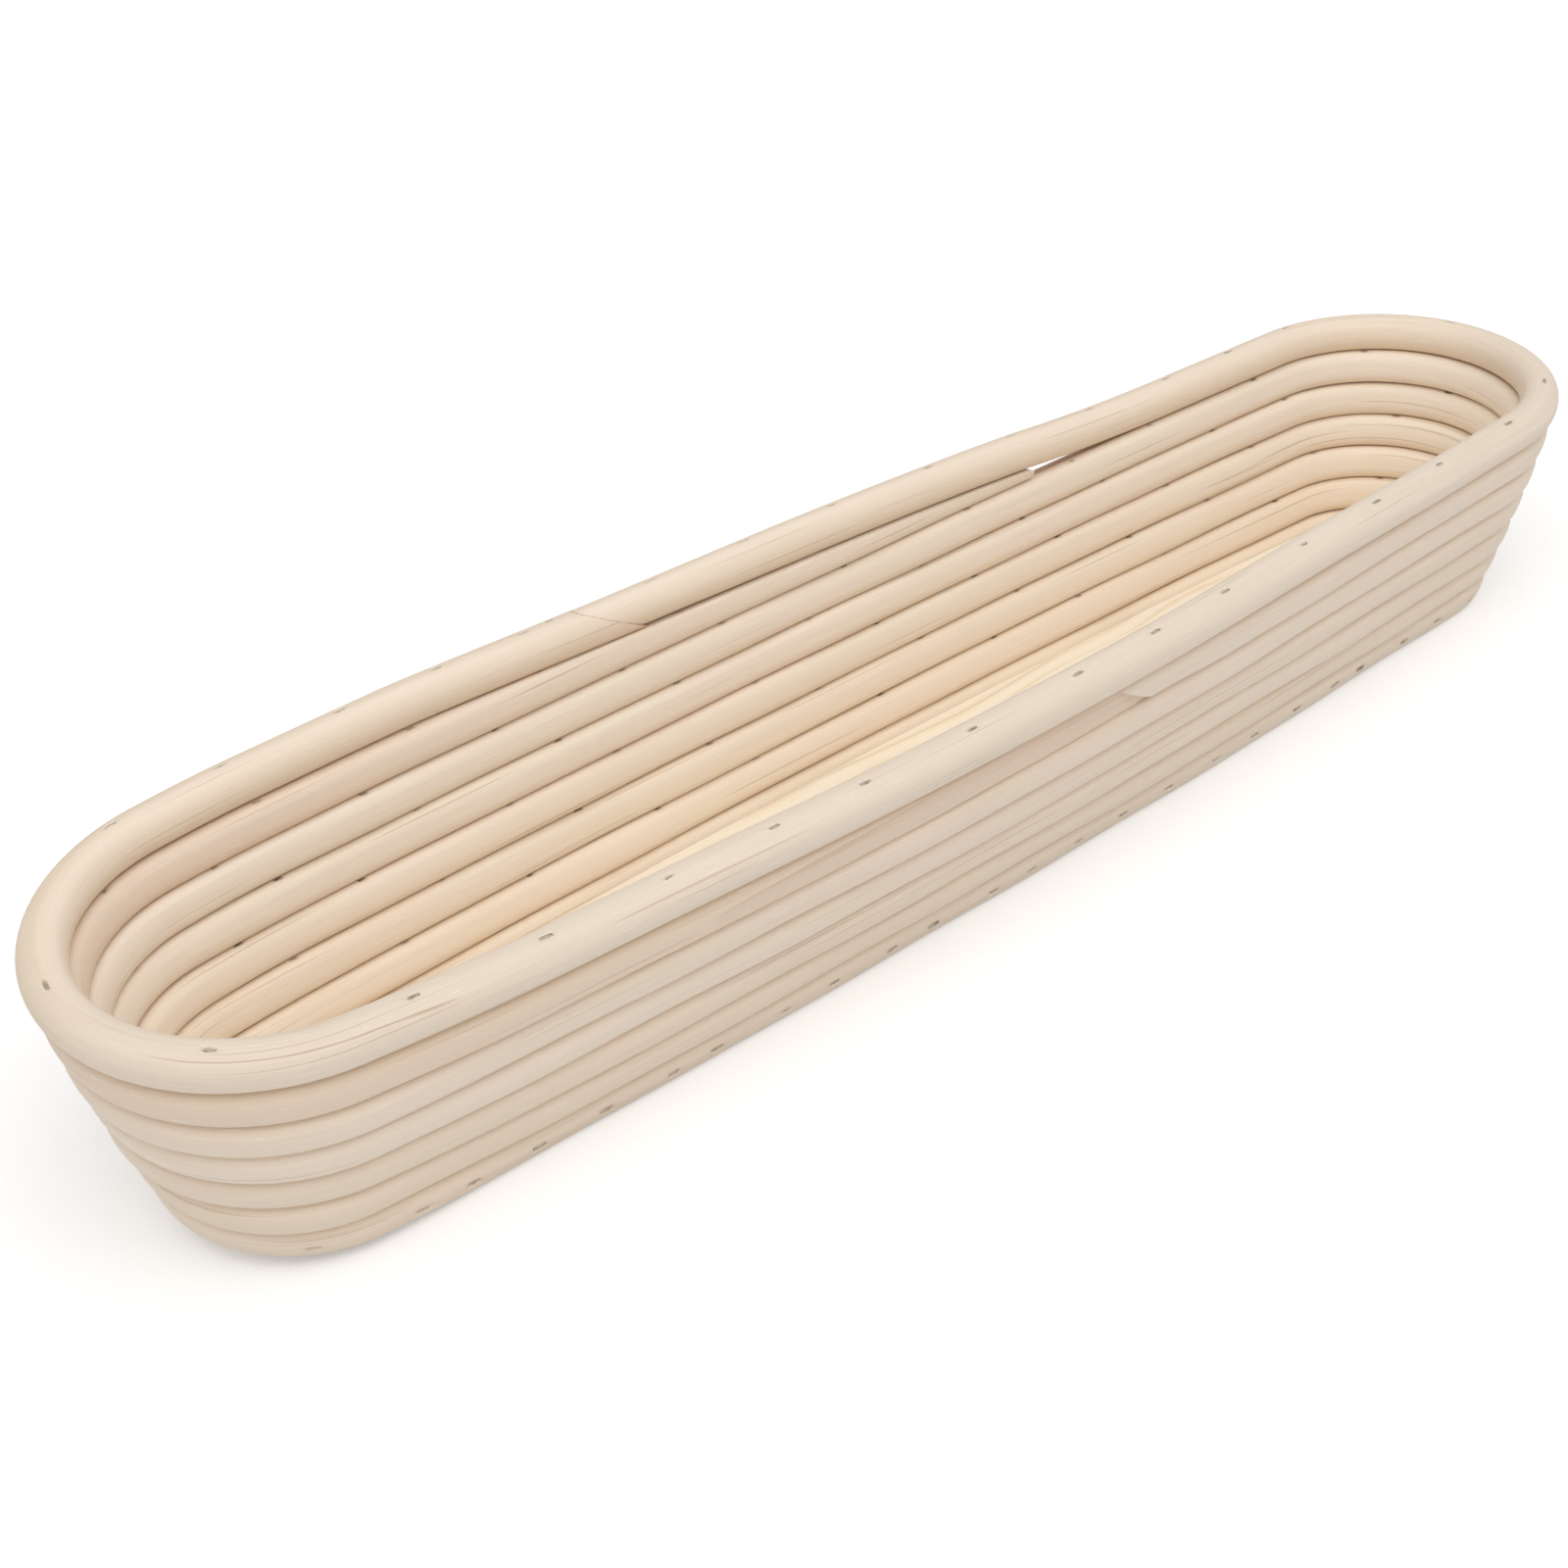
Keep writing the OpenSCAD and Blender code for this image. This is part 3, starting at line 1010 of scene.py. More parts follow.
@dataclass(frozen=True)
class BoardFinish:
    """Bare planed wood, flat-sawn: long growth lines, fine pores and two dark veins.

    Waves of a noise and growth lines are counted for each metre.
    """

    name: str
    pale: Colour = (0.96, 0.88, 0.73, 1.0)
    deep: Colour = (0.90, 0.77, 0.58, 1.0)
    late: Colour = (0.62, 0.42, 0.21, 1.0)
    drifts: Waves = (6.0, 26.0, 26.0)
    ripples: Waves = (30.0, 240.0, 240.0)
    pores: Waves = (45.0, 2600.0, 2600.0)
    fibres: Waves = (110.0, 6000.0, 6000.0)
    patches: Waves = (9.0, 30.0, 30.0)
    lines: float = 130.0
    line_drift: float = 7.0
    line_ripple: float = 0.5
    late_power: float = 5.0
    line_shade: float = 0.35
    pore_shade: float = 0.6
    fibre_shade: float = 0.25
    patch_shade: float = 0.5
    shade_drop: float = 0.5
    late_span: Span = (0.42, 0.68)
    late_patch: float = 0.4
    late_even: float = 0.07
    vein_x: float = -0.115
    vein_half: float = 0.07
    veins: tuple[float, float] = (0.0175, 0.0195)
    vein_drift: float = 0.006
    vein_side: Span = (0.0002, 0.001)
    vein_share: float = 0.7
    rough: float = 0.6
    fibre_rough: float = 0.2
    fibre_height: float = 0.6
    pore_height: float = 0.5
    late_height: float = 0.4
    specular: float = 0.28
    bump: float = 0.25
    relief: float = 0.0002

    def material(self) -> bpy.types.Material:
        """Make the material.

        Returns:
            The material, which follows the board's own place.
        """
        material, g = new_material(self.name)
        place = g.place()
        along, across, _ = g.parts(place)
        drift, ripple, pore, fibre, patch = (g.noise(place, waves) for waves in (
            self.drifts, self.ripples, self.pores, self.fibres, self.patches))
        phase = across * self.lines + drift * self.line_drift + ripple * self.line_ripple
        line = g.math("PINGPONG", phase, 0.5) * 2.0
        late = line ** self.late_power
        shade = line * self.line_shade + pore * self.pore_shade + fibre * self.fibre_shade
        shade = shade + patch * self.patch_shade - self.shade_drop
        veined = 1.0 - abs(along - self.vein_x).above(self.vein_half / 2.0, self.vein_half)
        wavy = across + drift.centred() * self.vein_drift
        coats = [(late * (patch.above(*self.late_span) * self.late_patch + self.late_even), self.late)]
        for side in self.veins:
            vein = 1.0 - abs(wavy - side).above(*self.vein_side)
            coats.append((vein * veined * self.vein_share, self.late))
        colour = g.coats(g.blend(shade.within(), self.pale, self.deep), coats)
        rough = self.rough + self.fibre_rough * fibre.centred()
        height = fibre * self.fibre_height + pore * self.pore_height + late * self.late_height
        g.surface(colour, rough, height, self.bump, self.relief, self.specular)
        return material


@dataclass(frozen=True)
class WireFinish:
    """Dull flat staple wire, drawn lengthwise and a little stained."""

    name: str
    bright: Colour = (0.44, 0.37, 0.28, 1.0)
    stained: Colour = (0.24, 0.165, 0.10, 1.0)
    stains: Waves = (700.0, 700.0, 700.0)
    draws: Waves = (500.0, 9000.0, 9000.0)
    stain_span: Span = (0.45, 0.7)
    stain_share: float = 0.8
    rough: float = 0.42
    stain_rough: float = 0.25
    drawn_rough: float = 0.2
    metallic: float = 0.9
    specular: float = 0.5
    bump: float = 0.2
    relief: float = 0.00005

    def material(self) -> bpy.types.Material:
        """Make the material.

        Returns:
            The material, which follows the staples' own place.
        """
        material, g = new_material(self.name)
        place = g.place()
        stain = g.noise(place, self.stains, detail=3.0).above(*self.stain_span)
        drawn = g.noise(place, self.draws)
        colour = g.blend(stain * self.stain_share, self.bright, self.stained)
        rough = self.rough + self.stain_rough * stain + self.drawn_rough * drawn.centred()
        g.surface(colour, rough, drawn, self.bump, self.relief, self.specular, self.metallic)
        return material


class MeshMaker:
    """Turns points in millimetres into dressed mesh objects."""

    sharp: float = math.radians(40.0)

    @classmethod
    def piece(cls, name: str, points: Array, faces: list[list[int]],
              material: bpy.types.Material) -> bpy.types.Object:
        """Make an object that rides on the basket.

        Args:
            name: Name of the piece.
            points: Vertices in millimetres.
            faces: Faces, as lists of vertex numbers.
            material: What it wears.

        Returns:
            The object.
        """
        mesh = bpy.data.meshes.new(name)
        mesh.from_pydata((np.asarray(points) * MM).tolist(), [], faces)
        mesh.materials.append(material)
        mesh.shade_smooth()
        mesh.set_sharp_from_angle(angle=cls.sharp)
        mesh.validate()
        piece = bpy.data.objects.new(name, mesh)
        bpy.context.scene.collection.objects.link(piece)
        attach(piece, BODY)
        log.info("%s: %d points, %d faces", name, len(mesh.vertices), len(mesh.polygons))
        return piece

    @staticmethod
    def closed(rows: int, n: int) -> list[list[int]]:
        """Faces of rows of points that form rings, with one face over each end.

        Args:
            rows: Number of rows.
            n: Number of points in a row.

        Returns:
            Faces, as lists of vertex numbers.
        """
        faces = [[i * n + k, (i + 1) * n + k, (i + 1) * n + (k + 1) % n, i * n + (k + 1) % n]
                 for i in range(rows - 1) for k in range(n)]
        faces.append(list(range(n)))
        faces.append([(rows - 1) * n + k for k in reversed(range(n))])
        return faces

    @staticmethod
    def write_vectors(piece: bpy.types.Object, name: str, vectors: Array) -> None:
        """Write one vector for each vertex."""
        layer = piece.data.attributes.new(name, "FLOAT_VECTOR", "POINT")
        layer.data.foreach_set("vector", np.ascontiguousarray(vectors, np.float32).ravel())


@dataclass(frozen=True)
class GroovePaintedShade:
    """Painted shade round a cane's section: brown lines in the grooves, where the turns meet, and soft tan
    beside them, where one turn shades the next.

    Strengths are given for the side that faces into the basket and for the outside, and for the halves
    above and below the cane's middle. Both kinds fade away from the groove by their powers.
    """

    line_inside: float
    line_outside: float
    line_above: float
    line_power: float
    tan_inside_above: float
    tan_inside_below: float
    tan_outside_above: float
    tan_outside_below: float
    tan_power: float = 3.0

    def around(self, angle: Array) -> tuple[Array, Array]:
        """Painted shade round the section.

        Args:
            angle: Angles, from straight out towards up.

        Returns:
            Strength of the painted brown lines, and of the painted soft tan.
        """
        inside = np.cos(angle) < 0.0
        above, below = np.clip(np.sin(angle), 0.0, 1.0), np.clip(-np.sin(angle), 0.0, 1.0)
        line = below ** self.line_power + self.line_above * above ** self.line_power
        line = line * np.where(inside, self.line_inside, self.line_outside)
        tan_above = np.where(inside, self.tan_inside_above, self.tan_outside_above)
        tan_below = np.where(inside, self.tan_inside_below, self.tan_outside_below)
        return line, tan_above * above ** self.tan_power + tan_below * below ** self.tan_power


@dataclass
class Rings:
    """Rings of a cane, one entry for each ring in every array.

    The three planes cut the round section: above its middle, outside it and inside it. The shear moves a
    ring's points along the cane for each millimetre up the wall. Where bare is 1, a cut shows the brown
    core. Groove shading is the strength of the painted shade in the grooves.
    """

    q: Array
    rise: Array
    out: Array
    radius: Array
    plane_top: Array
    plane_outer: Array
    plane_inner: Array
    shear: Array
    bare: Array
    worn: Array

    @classmethod
    def plain(cls, q: Array, rise: Array, radius: float) -> "Rings":
        """Make round rings with no cut.

        Args:
            q: Places along the winding.
            rise: Heights up the wall.
            radius: Radius of all rings.

        Returns:
            The rings.
        """
        one = np.ones_like(q)
        zero = np.zeros_like(q)
        return cls(q=q, rise=rise, out=zero, radius=radius * one, plane_top=FAR * one,
                   plane_outer=FAR * one, plane_inner=-FAR * one, shear=zero, bare=zero, worn=one)


@dataclass
class Cane(ABC):
    """A wound cane as one fine tube, with dents where staples go in."""

    plan: WallPlan
    staples: StaplePlan
    sides: int = 44
    squareness: float = 2.9
    probe_step: float = 0.1
    side_step: float = 4.5
    end_step: float = 2.2
    fine_step: float = 0.6
    fine_reach: float = 3.6
    squeeze: float = 0.04
    dent_edge: float = 0.7
    cap_inset: float = 0.92
    cap_bulge: float = 0.25
    mark_reach: float = 2.9
    cut_reach: float = 2.0
    stand_z: float = 0.05
    grain_start: float = 0.0
    # Painted shade in the grooves: brown lines where the turns meet and soft tan where one turn shades the
    # next.
    stain: GroovePaintedShade = GroovePaintedShade(
        line_inside=0.8, line_outside=0.5, line_above=1.0, line_power=26.0,
        tan_inside_above=0.6, tan_inside_below=1.0, tan_outside_above=0.8, tan_outside_below=0.0)

    @abstractmethod
    def dress(self, material: bpy.types.Material) -> bpy.types.Object:
        """Build the cane and dress it in a material."""

    @abstractmethod
    def tint(self, rings: Rings) -> Array:
        """Shares of pink, warm and darker colour at each point of the rings."""

    def radius(self) -> float:
        """Radius at which one turn touches the next."""
        return self.plan.pitch / 2.0 + self.squeeze

    def angles(self) -> Array:
        """Angles round the section, from straight out towards up."""
        return 2.0 * math.pi * np.arange(self.sides) / self.sides

    def facing_in(self) -> Array:
        """How far each side of the section faces into the basket, from 0 to 1."""
        return ease(0.5 - np.cos(self.angles()))[None, :]

    def places(self, start: float, end: float, crowns: list[Crown]) -> Array:
        """Places of the rings, close together round the ends and at staples.

        Args:
            start: First place.
            end: Last place.
            crowns: Staples on the way.

        Returns:
            Places from start to end.
        """
        probes = np.linspace(start, end, int((end - start) / self.probe_step))
        step = np.where(self.plan.on_end(probes), self.end_step, self.side_step)
        marks = np.sort([crown.q for crown in crowns])
        following = np.searchsorted(marks, probes)
        before = marks[np.clip(following - 1, 0, None)]
        after = marks[np.clip(following, None, len(marks) - 1)]
        near = np.minimum(np.abs(probes - before), np.abs(probes - after))
        step = np.where(near < self.fine_reach, self.fine_step, step)
        count = np.concatenate([[0.0], np.cumsum(np.diff(probes) / step[1:])])
        return np.interp(np.linspace(0.0, count[-1], int(count[-1]) + 2), count, probes)

    def sections(self, rings: Rings, dents: Array) -> tuple[Array, Array]:
        """Points of all sections.

        Args:
            rings: The cane's rings.
            dents: Depth of the dents at each point.

        Returns:
            Points, and how far each lay outside a cutting plane before it was cut.
        """
        angle = self.angles()
        radius = rings.radius[:, None] * squared(angle, self.squareness) - dents
        up, out = radius * np.sin(angle), radius * np.cos(angle)
        top, outer, inner, shear = (values[:, None] for values in (
            rings.plane_top, rings.plane_outer, rings.plane_inner, rings.shear))
        over = np.maximum.reduce([up - top, out - outer, inner - out])
        up = np.minimum(up, top)[..., None]
        out = np.clip(out, inner, outer)[..., None]
        travel, up_wall, out_wall = (v[:, None, :] for v in self.plan.axes(rings.q, rings.rise))
        middle = self.plan.point(rings.q, rings.rise, rings.out)[:, None, :]
        points = middle + up * up_wall + out * out_wall + shear[..., None] * up * travel
        points[..., 2] = np.maximum(points[..., 2], self.stand_z)
        return points, over

    def marks(self, rings: Rings, crowns: list[Crown]) -> tuple[Array, Array]:
        """Dents over staples, and where every point lies from the nearest staple.

        Args:
            rings: The cane's rings.
            crowns: Its staples.

        Returns:
            Depth of the dents, and vectors: distance along and across as shares of the slit, and strength of
                the mark's bruise and painted shade.
        """
        middle = self.plan.point(rings.q, rings.rise, rings.out)
        speed = np.linalg.norm(np.gradient(middle, axis=0), axis=1) / np.gradient(rings.q)
        nearest = np.abs(rings.q[:, None] - [crown.q for crown in crowns]).argmin(1)
        marks = np.array([(c.q, c.turned, c.slit.half_len, c.slit.half_wid, c.slit.dent * c.plain,
                           c.slit.stain * c.plain) for c in crowns])[nearest]
        q, turned, half_len, half_wid, dent, stain = (column[:, None] for column in marks.T)
        along = (rings.q[:, None] - q) * speed[:, None]
        stain = np.where(np.abs(along) < self.mark_reach, stain, 0.0)
        across = np.angle(np.exp(1j * (self.angles() - turned))) * rings.radius[:, None]
        past_end = np.maximum(np.abs(along) - half_len, 0.0)
        past_side = np.maximum(np.abs(across) - half_wid, 0.0)
        dents = dent * (1.0 - ease(np.hypot(past_end, past_side) / self.dent_edge))
        return dents, joined(along / half_len, across / half_wid, stain)

    def faces(self, count: int) -> list[list[int]]:
        """Faces of the tube and of its two end caps.

        Args:
            count: Number of rings.

        Returns:
            Faces over count rings, then an inner ring and a middle point for each cap.
        """
        n = self.sides
        i, k = np.meshgrid(np.arange(count - 1), np.arange(n), indexing="ij")
        k_next = (k + 1) % n
        quads = joined(i * n + k, i * n + k_next, (i + 1) * n + k_next, (i + 1) * n + k)
        faces = quads.reshape(-1, 4).tolist()
        base = count * n
        for cap, ring in enumerate((0, (count - 1) * n)):
            inner = base + cap * (n + 1)
            for j in range(n):
                j_next = (j + 1) % n
                quad = [ring + j_next, ring + j, inner + j, inner + j_next]
                tri = [inner + j_next, inner + j, inner + n]
                faces += [quad, tri] if cap == 0 else [quad[::-1], tri[::-1]]
        return faces

    def caps(self, points: Array) -> Array:
        """Points of the end caps, a little crowned.

        Args:
            points: Points of all rings.

        Returns:
            An inner ring and a middle point for each cap.
        """
        parts = []
        for ring, nearby in ((points[0], points[1]), (points[-1], points[-2])):
            middle = ring.mean(0)
            away = middle - nearby.mean(0)
            crown = self.cap_bulge * away / np.linalg.norm(away)
            parts.append(middle + (ring - middle) * self.cap_inset + crown)
            parts.append((middle + crown)[None, :])
        return np.concatenate(parts)

    def build(self, name: str, rings: Rings, crowns: list[Crown],
              material: bpy.types.Material) -> bpy.types.Object:
        """Build the tube and write what its finish reads.

        Args:
            name: Name of the piece.
            rings: The cane's rings.
            crowns: Its staples.
            material: What it wears.

        Returns:
            The object.
        """
        dents, mark = self.marks(rings, crowns)
        points, over = self.sections(rings, dents)
        vertices = np.concatenate([points.reshape(-1, 3), self.caps(points)])
        piece = MeshMaker.piece(name, vertices, self.faces(len(points)), material)
        steps = np.linalg.norm(np.diff(points.mean(1), axis=0), axis=1)
        length = np.concatenate([[0.0], np.cumsum(steps)])[:, None]
        angle, radius = self.angles(), rings.radius[:, None]
        grain = joined(self.grain_start + length * MM, radius * np.cos(angle) * MM,
                       radius * np.sin(angle) * MM)
        # Painted shade round the section: brown lines in the grooves and soft tan beside them.
        line, tan = self.stain.around(angle)
        worn, bare = rings.worn[:, None], rings.bare[:, None] > 0.0
        cut = np.where(bare, np.clip(over, -self.cut_reach, self.cut_reach), -self.cut_reach)
        self.write(piece, "grain", grain)
        self.write(piece, "painted_shade_and_cut", joined(line * worn, tan * worn, cut))
        self.write(piece, "tint", self.tint(rings))
        self.write(piece, "mark", mark)
        return piece

    def write(self, piece: bpy.types.Object, label: str, vectors: Array) -> None:
        """Write an attribute of a cane, with the end rings' values on its caps.

        Args:
            piece: The cane's object.
            label: Name of the attribute.
            vectors: One vector for each point of the rings.
        """
        n, flat = self.sides, vectors.reshape(-1, 3)
        last = len(flat) - n
        caps = np.concatenate([np.arange(n), [0], last + np.arange(n), [last]])
        MeshMaker.write_vectors(piece, label, np.concatenate([flat, flat[caps]]))


@dataclass
class WallCane(Cane):
    """The long cane: a tapered start, the turns of the wall and a thin end over the splice."""

    end_slant: float = 1.7
    end_blend: float = 45.0
    end_shave: float = 0.7
    out_wander: Wander = Wander(seed=3, size=0.22, lengths=(83.0, 131.0, 57.0, 210.0))
    rise_wander: Wander = Wander(seed=4, size=0.05, lengths=(71.0, 117.0, 190.0))
    pink_wander: Wander = Wander(seed=11, size=1.0, lengths=(900.0, 1570.0, 430.0))
    tone_wander: Wander = Wander(seed=12, size=0.05, lengths=(640.0, 1210.0, 350.0))
    pink_even: float = 0.12
    pink_varied: float = 0.1
    pink_outside: float = 1.5
    warm_even: float = 0.02
    # Painted warm bounce light on the inside, stronger deep in the basket.
    warm_inside: float = 0.24
    warm_outside: float = 0.06
    # Painted shade outside and painted light inside: the outside darker, the inside paler.
    tone_outside: float = 0.24
    tone_inside: float = -0.26
    tone_deep: float = 0.04

    def dress(self, material: bpy.types.Material) -> bpy.types.Object:
        """Build the long cane and dress it.

        Args:
            material: What it wears.

        Returns:
            The object.
        """
        p = self.plan
        crowns = self.staples.crowns(Hold.BASE)
        crowns += [crown for crown in self.staples.crowns(Hold.WALL) if crown.q < p.splice_q]
        q = self.places(-p.start_len, p.splice_q, crowns)
        rings = Rings.plain(q, p.turn_rise(q), self.radius())
        rings.rise = rings.rise + self.rise_wander(q) * (q > 0.0)
        across = 2.0 * self.radius()
        start_top = p.pitch * ease((q + p.climb_len) / p.climb_len)
        start_side = ramp(p.start_w, across, (q + p.start_len) / p.start_len)
        rings.plane_top = np.where(q < 0.0, start_top - self.radius(), FAR)
        rings.plane_outer = np.where(q < 0.0, start_side - self.radius(), FAR)
        left_over = p.splice_t + p.lap_slope * (p.splice_q - q)
        lap = p.cane_d / 2.0 - left_over - p.lap_gap / 2.0
        rings.plane_inner = np.where(q > p.full_q, lap, -FAR)
        to_end = ease((q - p.splice_q + self.end_blend) / self.end_blend)
        rings.out = self.out_wander(q) * (1.0 - to_end) - self.end_shave * to_end
        rings.shear = self.end_slant * to_end
        return self.build("wall_cane_wound", rings, crowns, material)

    def tint(self, rings: Rings) -> Array:
        """Colour of the cane: warmer deep in the basket, as painted bounce light, and darker outside and
        paler inside, as painted shade and light.

        Args:
            rings: The cane's rings.

        Returns:
            Shares of pink, warm and darker colour at each point.
        """
        inside = self.facing_in()
        depth = np.clip(1.0 - rings.rise / self.plan.top_crest, 0.0, 1.0)[:, None]
        varied = np.clip(self.pink_wander(rings.q), -1.0, 1.0)[:, None]
        pink = (self.pink_even + self.pink_varied * varied) * (self.pink_outside - inside)
        warm_outside = self.warm_outside * (1.0 - inside) * depth ** 2
        # Warmth inside, deep in the basket, is painted bounce light.
        warm = self.warm_even + self.warm_inside * inside * depth + warm_outside
        tone = self.tone_wander(rings.q)[:, None] + self.tone_deep * depth
        # Painted shade outside, painted light inside.
        tone = tone + ramp(self.tone_outside, self.tone_inside, inside)
        return joined(pink, warm, tone)


@dataclass
class ClosingCane(Cane):
    """The second cane: a thin end behind the splice, a shallow cut that shows, and a long tapered tip."""

    grain_start: float = 7.0
    # The painted groove shade fades out towards the tapered tip.
    tip_worn: float = 0.1
    worn_after: float = 60.0
    out_wander: Wander = Wander(seed=5, size=0.15, lengths=(83.0, 131.0, 57.0))
    wander_blend: float = 40.0
    fade_len: float = 160.0
    pink_outside: float = 0.5
    pink_inside: float = 0.6
    pink_fade: float = 0.45
    warm_even: float = 0.04
    # Painted shade outside and painted light inside, paler still inside along the back, under the rim.
    tone_outside: float = 0.75
    tone_inside: float = -0.17
    tone_fade: float = 0.3

    def dress(self, material: bpy.types.Material) -> bpy.types.Object:
        """Build the closing cane and dress it.

        Args:
            material: What it wears.

        Returns:
            The object.
        """
        p = self.plan
        crowns = [crown for crown in self.staples.crowns(Hold.WALL) if crown.q > p.splice_q]
        q = self.places(p.splice_q - p.lap_len, p.tip_q, crowns)
        rings = Rings.plain(q, p.turn_rise(q), self.radius())
        scarf_end, taper_start = p.splice_q + p.scarf_len, p.tip_q - p.taper_len
        rings.out = self.out_wander(q) * ease((q - scarf_end) / self.wander_blend)
        cut = p.close_depth(q) - p.cane_d / 2.0 + p.lap_gap / 2.0
        rings.plane_outer = np.where(q < scarf_end, cut, FAR)
        rings.bare = np.where(q < scarf_end, 1.0, 0.0)
        taper = p.close_thick(q) - p.cane_d / 2.0 + p.turn_gap / 2.0
        rings.plane_top = np.where(q > taper_start, taper, FAR)
        # Painted groove shade, fading towards the tip.
        rings.worn = ramp(1.0, self.tip_worn, (q - taper_start + self.worn_after) / p.taper_len)
        return self.build("closing_cane_wound", rings, crowns, material)

    def tint(self, rings: Rings) -> Array:
        """Colour of the cane: the pinkest of the basket, which fades inside along the back; darker outside
        and paler inside, more so inside along the back, as painted shade and light.

        Args:
            rings: The cane's rings.

        Returns:
            Shares of pink, warm and darker colour at each point.
        """
        inside = self.facing_in()
        on_back = rings.q - self.plan.turns * self.plan.turn_len
        faded = inside * ramp(0.0, 1.0, on_back / self.fade_len)[:, None]
        pink = ramp(self.pink_outside, self.pink_inside, inside) - self.pink_fade * faded
        # Painted shade outside, painted light inside, more inside along the back.
        tone = ramp(self.tone_outside, self.tone_inside, inside) - self.tone_fade * faded
        return joined(pink, self.warm_even, tone)


@dataclass
class RimCane(Cane):
    """The rim: one cane along the top, whose ends meet at a slanting cut on the back."""

    sides: int = 52
    squareness: float = 2.15
    crowd: float = 0.5
    rim_squeeze: float = 0.25
    fine_step: float = 0.5
    cap_inset: float = 0.99
    cap_bulge: float = 0.0
    grain_start: float = 11.0
    joint_crack: float = 0.01
    joint_reach: float = 6.0
    split_m: float = 780.0
    split_half: float = 26.0
    split_angle: float = math.radians(51.0)
    split_turn: float = math.radians(0.41)
    out_wander: Wander = Wander(seed=6, size=0.2, lengths=(97.0, 151.0, 230.0))
    pink_even: float = 0.06
    pink_back: float = 0.25
    warm_even: float = 0.02
    warm_back: float = 0.18
    tone_even: float = 0.4
    # Along the back: painted shade on the top and outside, and painted light on the inside face.
    tone_back: float = 0.4
    tone_inside: float = 1.1
    # Painted shade where the rim sits on the turn below: a brown line and soft tan under the rim.
    stain: GroovePaintedShade = GroovePaintedShade(
        line_inside=0.6, line_outside=0.5, line_above=0.0, line_power=20.0,
        tan_inside_above=0.0, tan_inside_below=0.6, tan_outside_above=0.0, tan_outside_below=0.15)

    def radius(self) -> float:
        """Radius at which the rim touches the turn below it."""
        return self.plan.rim_d / 2.0 + self.rim_squeeze

    def angles(self) -> Array:
        """Angles round the section, closer together on top, where the staples are."""
        even = 2.0 * math.pi * np.arange(self.sides) / self.sides
        return even - self.crowd * np.sin(even - math.pi / 2.0)

    def dress(self, material: bpy.types.Material) -> bpy.types.Object:
        """Build the rim and dress it.

        Args:
            material: What it wears.

        Returns:
            The object.
        """
        p = self.plan
        crowns = self.staples.crowns(Hold.RIM)
        start = p.joint_m + self.joint_crack / 2.0
        end = p.joint_m + p.turn_len - self.joint_crack / 2.0
        q = self.places(start, end, crowns)
        rings = Rings.plain(q, p.rim_rise(q), self.radius())
        at_start, at_end = 1.0 - ease((q - start) / p.joint_blend), p.near_joint(q)
        rings.out = self.out_wander(q) + p.joint_outward * at_end
        rings.rise = rings.rise - p.joint_swell * at_end
        rings.radius = rings.radius + p.joint_swell * at_end
        slant = p.joint_slant / p.rim_d
        rings.q = q + slant * p.joint_swell * at_end
        rings.shear = -slant * np.maximum(at_start, at_end)
        piece = self.build("rim_cane_bent", rings, crowns, material)
        self.write(piece, "split", self.split_places(rings))
        return piece

    def split_places(self, rings: Rings) -> Array:
        """Where each point lies from the long split at the near end or from the joint's line.

        Args:
            rings: The rim's rings.

        Returns:
            Distance along as a share of the split's half length, distance across in millimetres, and 1.
        """
        run = self.plan.in_turn(rings.q)[:, None] - self.split_m
        turned = self.angles() - self.split_angle - self.split_turn * run
        off = np.angle(np.exp(1j * turned)) * rings.radius[:, None]
        to_joint = np.minimum(rings.q - rings.q[0], rings.q[-1] - rings.q)[:, None]
        at_joint = to_joint < self.joint_reach
        along = np.where(at_joint, 0.0, run / self.split_half)
        across = np.where(at_joint, to_joint, off)
        return joined(along, across, 1.0)

    def tint(self, rings: Rings) -> Array:
        """Colour of the rim: hardly pink or warm, and along the back darker outside and paler inside, as
        painted shade and light.

        Args:
            rings: The rim's rings.

        Returns:
            Shares of pink, warm and darker colour at each point.
        """
        inside = self.facing_in()
        back = ease(0.5 + np.sin(self.plan.normal(rings.q)))[:, None]
        pink = self.pink_even + self.pink_back * back * inside
        warm = self.warm_even + self.warm_back * back
        # Painted shade on the back's top and outside, painted light on its inside face.
        tone = self.tone_even + back * (self.tone_back - self.tone_inside * inside ** 2)
        return joined(pink, warm, tone)


@dataclass
class FloorBoard:
    """The flat wooden floor, with eased edges."""

    plan: WallPlan
    round_over: float = 0.8
    round_steps: int = 5
    edge_inset: float = 6.0
    core_inset: float = 20.0
    count: int = 420

    def dress(self, material: bpy.types.Material) -> bpy.types.Object:
        """Build the board and dress it.

        Args:
            material: What it wears.

        Returns:
            The object.
        """
        p = self.plan
        q = p.turn_len * np.arange(self.count) / self.count
        centre, radius = p.outline(q)
        a = p.normal(q)
        turned = np.linspace(0.0, math.pi / 2.0, self.round_steps)
        insets = self.round_over * (1.0 - np.sin(turned))
        heights = self.round_over * (1.0 - np.cos(turned))
        under = [(self.core_inset, 0.0), (self.edge_inset, 0.0), *zip(insets, heights)]
        rows = under + [(inset, p.board_t - height) for inset, height in reversed(under)]
        points = [joined(centre[:, 0] + (radius - inset) * np.cos(a),
                         centre[:, 1] + (radius - inset) * np.sin(a), height) for inset, height in rows]
        faces = MeshMaker.closed(len(rows), self.count)
        return MeshMaker.piece("floor_board_planed", np.concatenate(points), faces, material)


